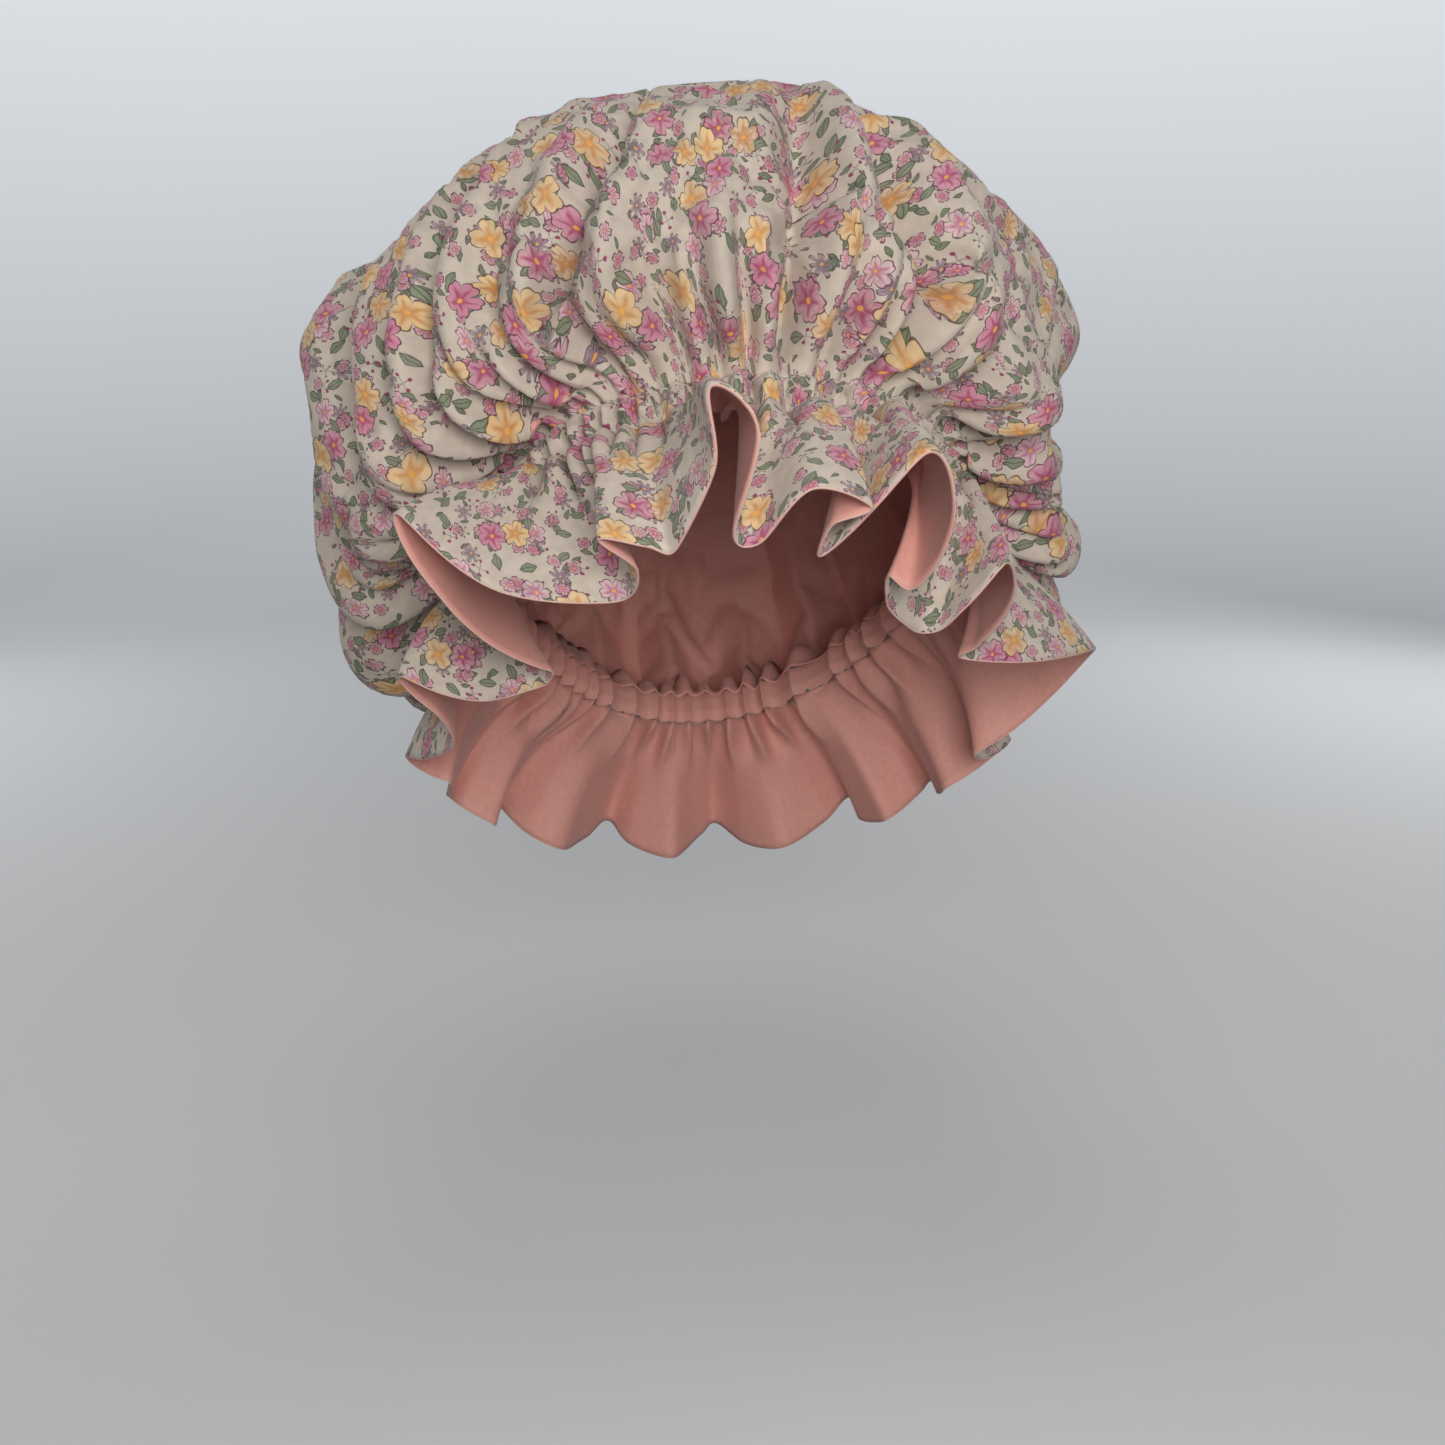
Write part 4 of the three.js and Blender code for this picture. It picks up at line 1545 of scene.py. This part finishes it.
    def build(self) -> tuple[bpy.types.Object, bpy.types.Object, bpy.types.Object]:
        """Makes the printed face, the lining and the rolled seam.

        Returns:
            The three objects.
        """
        middle, flat = self.surface()
        normals = grid_normals(middle)
        normals[0] = self.opening.normal(self.lines()[0])
        near = self.layer_gap / 2
        far = near + self.cloth
        LOG.info("ruffle edge %.0f mm round", 2 * math.pi * np.linalg.norm(flat[-1, 0]))
        printed = SheetMesh(middle + normals * far, middle + normals * near, flat).build("ruffle_print")
        lining = SheetMesh(middle - normals * near, middle - normals * far, flat).build("ruffle_under")
        seam = tube_object("ruffle_seam", middle[-1], 8, np.full(middle.shape[1], self.seam_radius))
        return printed, lining, seam


@dataclass(frozen=True)
class SoftLight:
    """Square soft light.

    Attributes:
        name: Name of the light.
        place: Where it stands, in metres.
        aim: Where it points.
        size: Length of its side.
        power: Watts.
        colour: Its colour.
    """

    name: str
    place: tuple[float, float, float]
    aim: tuple[float, float, float]
    size: float
    power: float
    colour: tuple[float, float, float]

    def build(self) -> None:
        """Adds the light to the scene."""
        data = bpy.data.lights.new(self.name, "AREA")
        data.size = self.size
        data.energy = self.power
        data.color = self.colour
        lamp = bpy.data.objects.new(self.name, data)
        lamp.location = self.place
        lamp.rotation_euler = (Vector(self.aim) - Vector(self.place)).to_track_quat("-Z", "Y").to_euler()
        bpy.context.scene.collection.objects.link(lamp)


@dataclass
class Studio:
    """Pale round sweep, soft lights and the camera.

    Attributes:
        floor_z: Height of the floor, in metres.
        wall_reach: Radius of the round wall.
        wall_height: Height of the wall.
        bend: Radius of the bend between floor and wall.
        camera_place: Where the camera stands.
        heading: Turn of the camera, in degrees.
        pitch: How far it looks down, in degrees.
        lens: Focal length in millimetres.
        room: Colour of the room's light.
        room_strength: Strength of the room's light.
        lights: Soft lights: one at the camera, one above and two behind the sides.
    """

    floor_z: float = -0.247
    wall_reach: float = 2.2
    wall_height: float = 3.0
    bend: float = 0.8
    camera_place: tuple[float, float, float] = (-0.0707, -0.5031, 0.077)
    heading: float = -8.0
    pitch: float = 14.2
    lens: float = 35.95
    room: str = "#d3d1d0"
    room_strength: float = 0.19
    lights: tuple[SoftLight, ...] = (
        SoftLight("key", (-0.02, -0.74, 0.2), (0, 0, 0.03), 0.35, 3.75, (1.0, 0.965, 0.93)),
        SoftLight("top", (-0.05, -0.1, 1.3), (0, 0, 0.03), 0.8, 2.6, (1.0, 0.98, 0.97)),
        SoftLight("left", (-1.0, 0.8, 0.45), (0, 0, 0.03), 0.8, 5.0, (1.0, 0.99, 0.98)),
        SoftLight("right", (1.0, 0.8, 0.45), (0, 0, 0.03), 0.8, 5.0, (1.0, 0.99, 0.98)),
    )

    def build_sweep(self) -> bpy.types.Object:
        """Makes the sweep, a floor that bends up into a round wall, so that it backs every view.

        Returns:
            The sweep.
        """
        bpy.ops.object.select_all(action="DESELECT")
        middle = (0, 0, self.floor_z + self.wall_height / 2)
        bpy.ops.mesh.primitive_cylinder_add(
            vertices=128,
            radius=self.wall_reach,
            depth=self.wall_height,
            end_fill_type="NGON",
            location=middle,
        )
        sweep = bpy.context.object
        sweep.name = "paper_sweep"
        bpy.ops.object.transform_apply(location=True, rotation=True, scale=True)
        mesh = sweep.data
        for part in (*mesh.vertices, *mesh.edges):
            part.select = False
        for face in mesh.polygons:
            face.select = face.normal.z > 0.9
        bpy.ops.object.mode_set(mode="EDIT")
        bpy.ops.mesh.select_mode(type="FACE")
        bpy.ops.mesh.delete(type="ONLY_FACE")
        bpy.ops.mesh.select_mode(type="EDGE")
        bpy.ops.mesh.select_all(action="DESELECT")
        bpy.ops.object.mode_set(mode="OBJECT")
        for edge in mesh.edges:
            edge.select = all(mesh.vertices[n].co.z < self.floor_z + 0.01 for n in edge.vertices)
        bpy.ops.object.mode_set(mode="EDIT")
        bpy.ops.mesh.bevel(offset=self.bend, segments=20, affect="EDGES")
        bpy.ops.mesh.select_all(action="SELECT")
        bpy.ops.mesh.flip_normals()
        bpy.ops.object.mode_set(mode="OBJECT")
        bpy.ops.object.shade_smooth()
        # It backs the views only, and the lights of the room shine through it
        sweep.visible_diffuse = sweep.visible_glossy = sweep.visible_shadow = False
        mesh.materials.append(BackdropPaper().build())
        return sweep

    def build_lights(self) -> None:
        """Adds the soft lights and the faint light of the room."""
        for light in self.lights:
            light.build()
        world = bpy.data.worlds.new("room")
        world.use_nodes = True
        background = world.node_tree.nodes["Background"]
        background.inputs["Color"].default_value = linear(self.room)
        background.inputs["Strength"].default_value = self.room_strength
        bpy.context.scene.world = world

    def build_camera(self) -> None:
        """Places the camera at the photograph's viewing angle."""
        data = bpy.data.cameras.new("camera")
        data.lens = self.lens
        data.sensor_width = 36.0
        camera = bpy.data.objects.new("camera", data)
        camera.location = self.camera_place
        camera.rotation_euler = (math.radians(90 - self.pitch), 0, math.radians(self.heading))
        bpy.context.scene.collection.objects.link(camera)
        bpy.context.scene.camera = camera

    def build(self) -> None:
        """Makes the sweep, the lights and the camera."""
        self.build_sweep()
        self.build_lights()
        self.build_camera()
        bpy.context.scene.view_settings.view_transform = "Standard"


def dress(piece: bpy.types.Object, material: bpy.types.Material) -> None:
    """Gives a piece its material and the body it rides on.

    Args:
        piece: The piece.
        material: Its material.
    """
    piece.data.materials.append(material)
    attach(piece, "root")
    LOG.info("%s: %d faces", piece.name, len(piece.data.polygons))


def main() -> None:
    """Builds the bonnet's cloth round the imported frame, and the studio round the bonnet."""
    logging.basicConfig(level=logging.INFO, format="%(name)s: %(message)s")
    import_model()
    Studio().build()
    opening = Opening()
    gathers = Gathers()
    printed = PrintedCotton().build()
    lining = LiningSateen().build()
    thread = SewingThread().build()

    crown, crown_lining = Crown(opening, gathers).build()
    dress(crown, printed)
    dress(crown_lining, lining)
    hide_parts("crown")

    band, stitches = Casing(opening, gathers).build()
    dress(band, printed)
    band.data.materials.append(lining)
    for row in stitches:
        dress(row, thread)
    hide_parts("elastic_casing")

    ruffle, under, seam = Ruffle(opening, gathers).build()
    dress(ruffle, printed)
    dress(under, lining)
    # The seam roll is paler than the lining, partly its own colour and partly painted highlight where
    # light catches the rolled edge
    dress(seam, LiningSateen("pink_seam_roll", "#e2b9ae", 0.5, 0.7).build())
    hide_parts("ruffle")
    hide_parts("ruffle_lining")


if __name__ == "__main__":
    main()
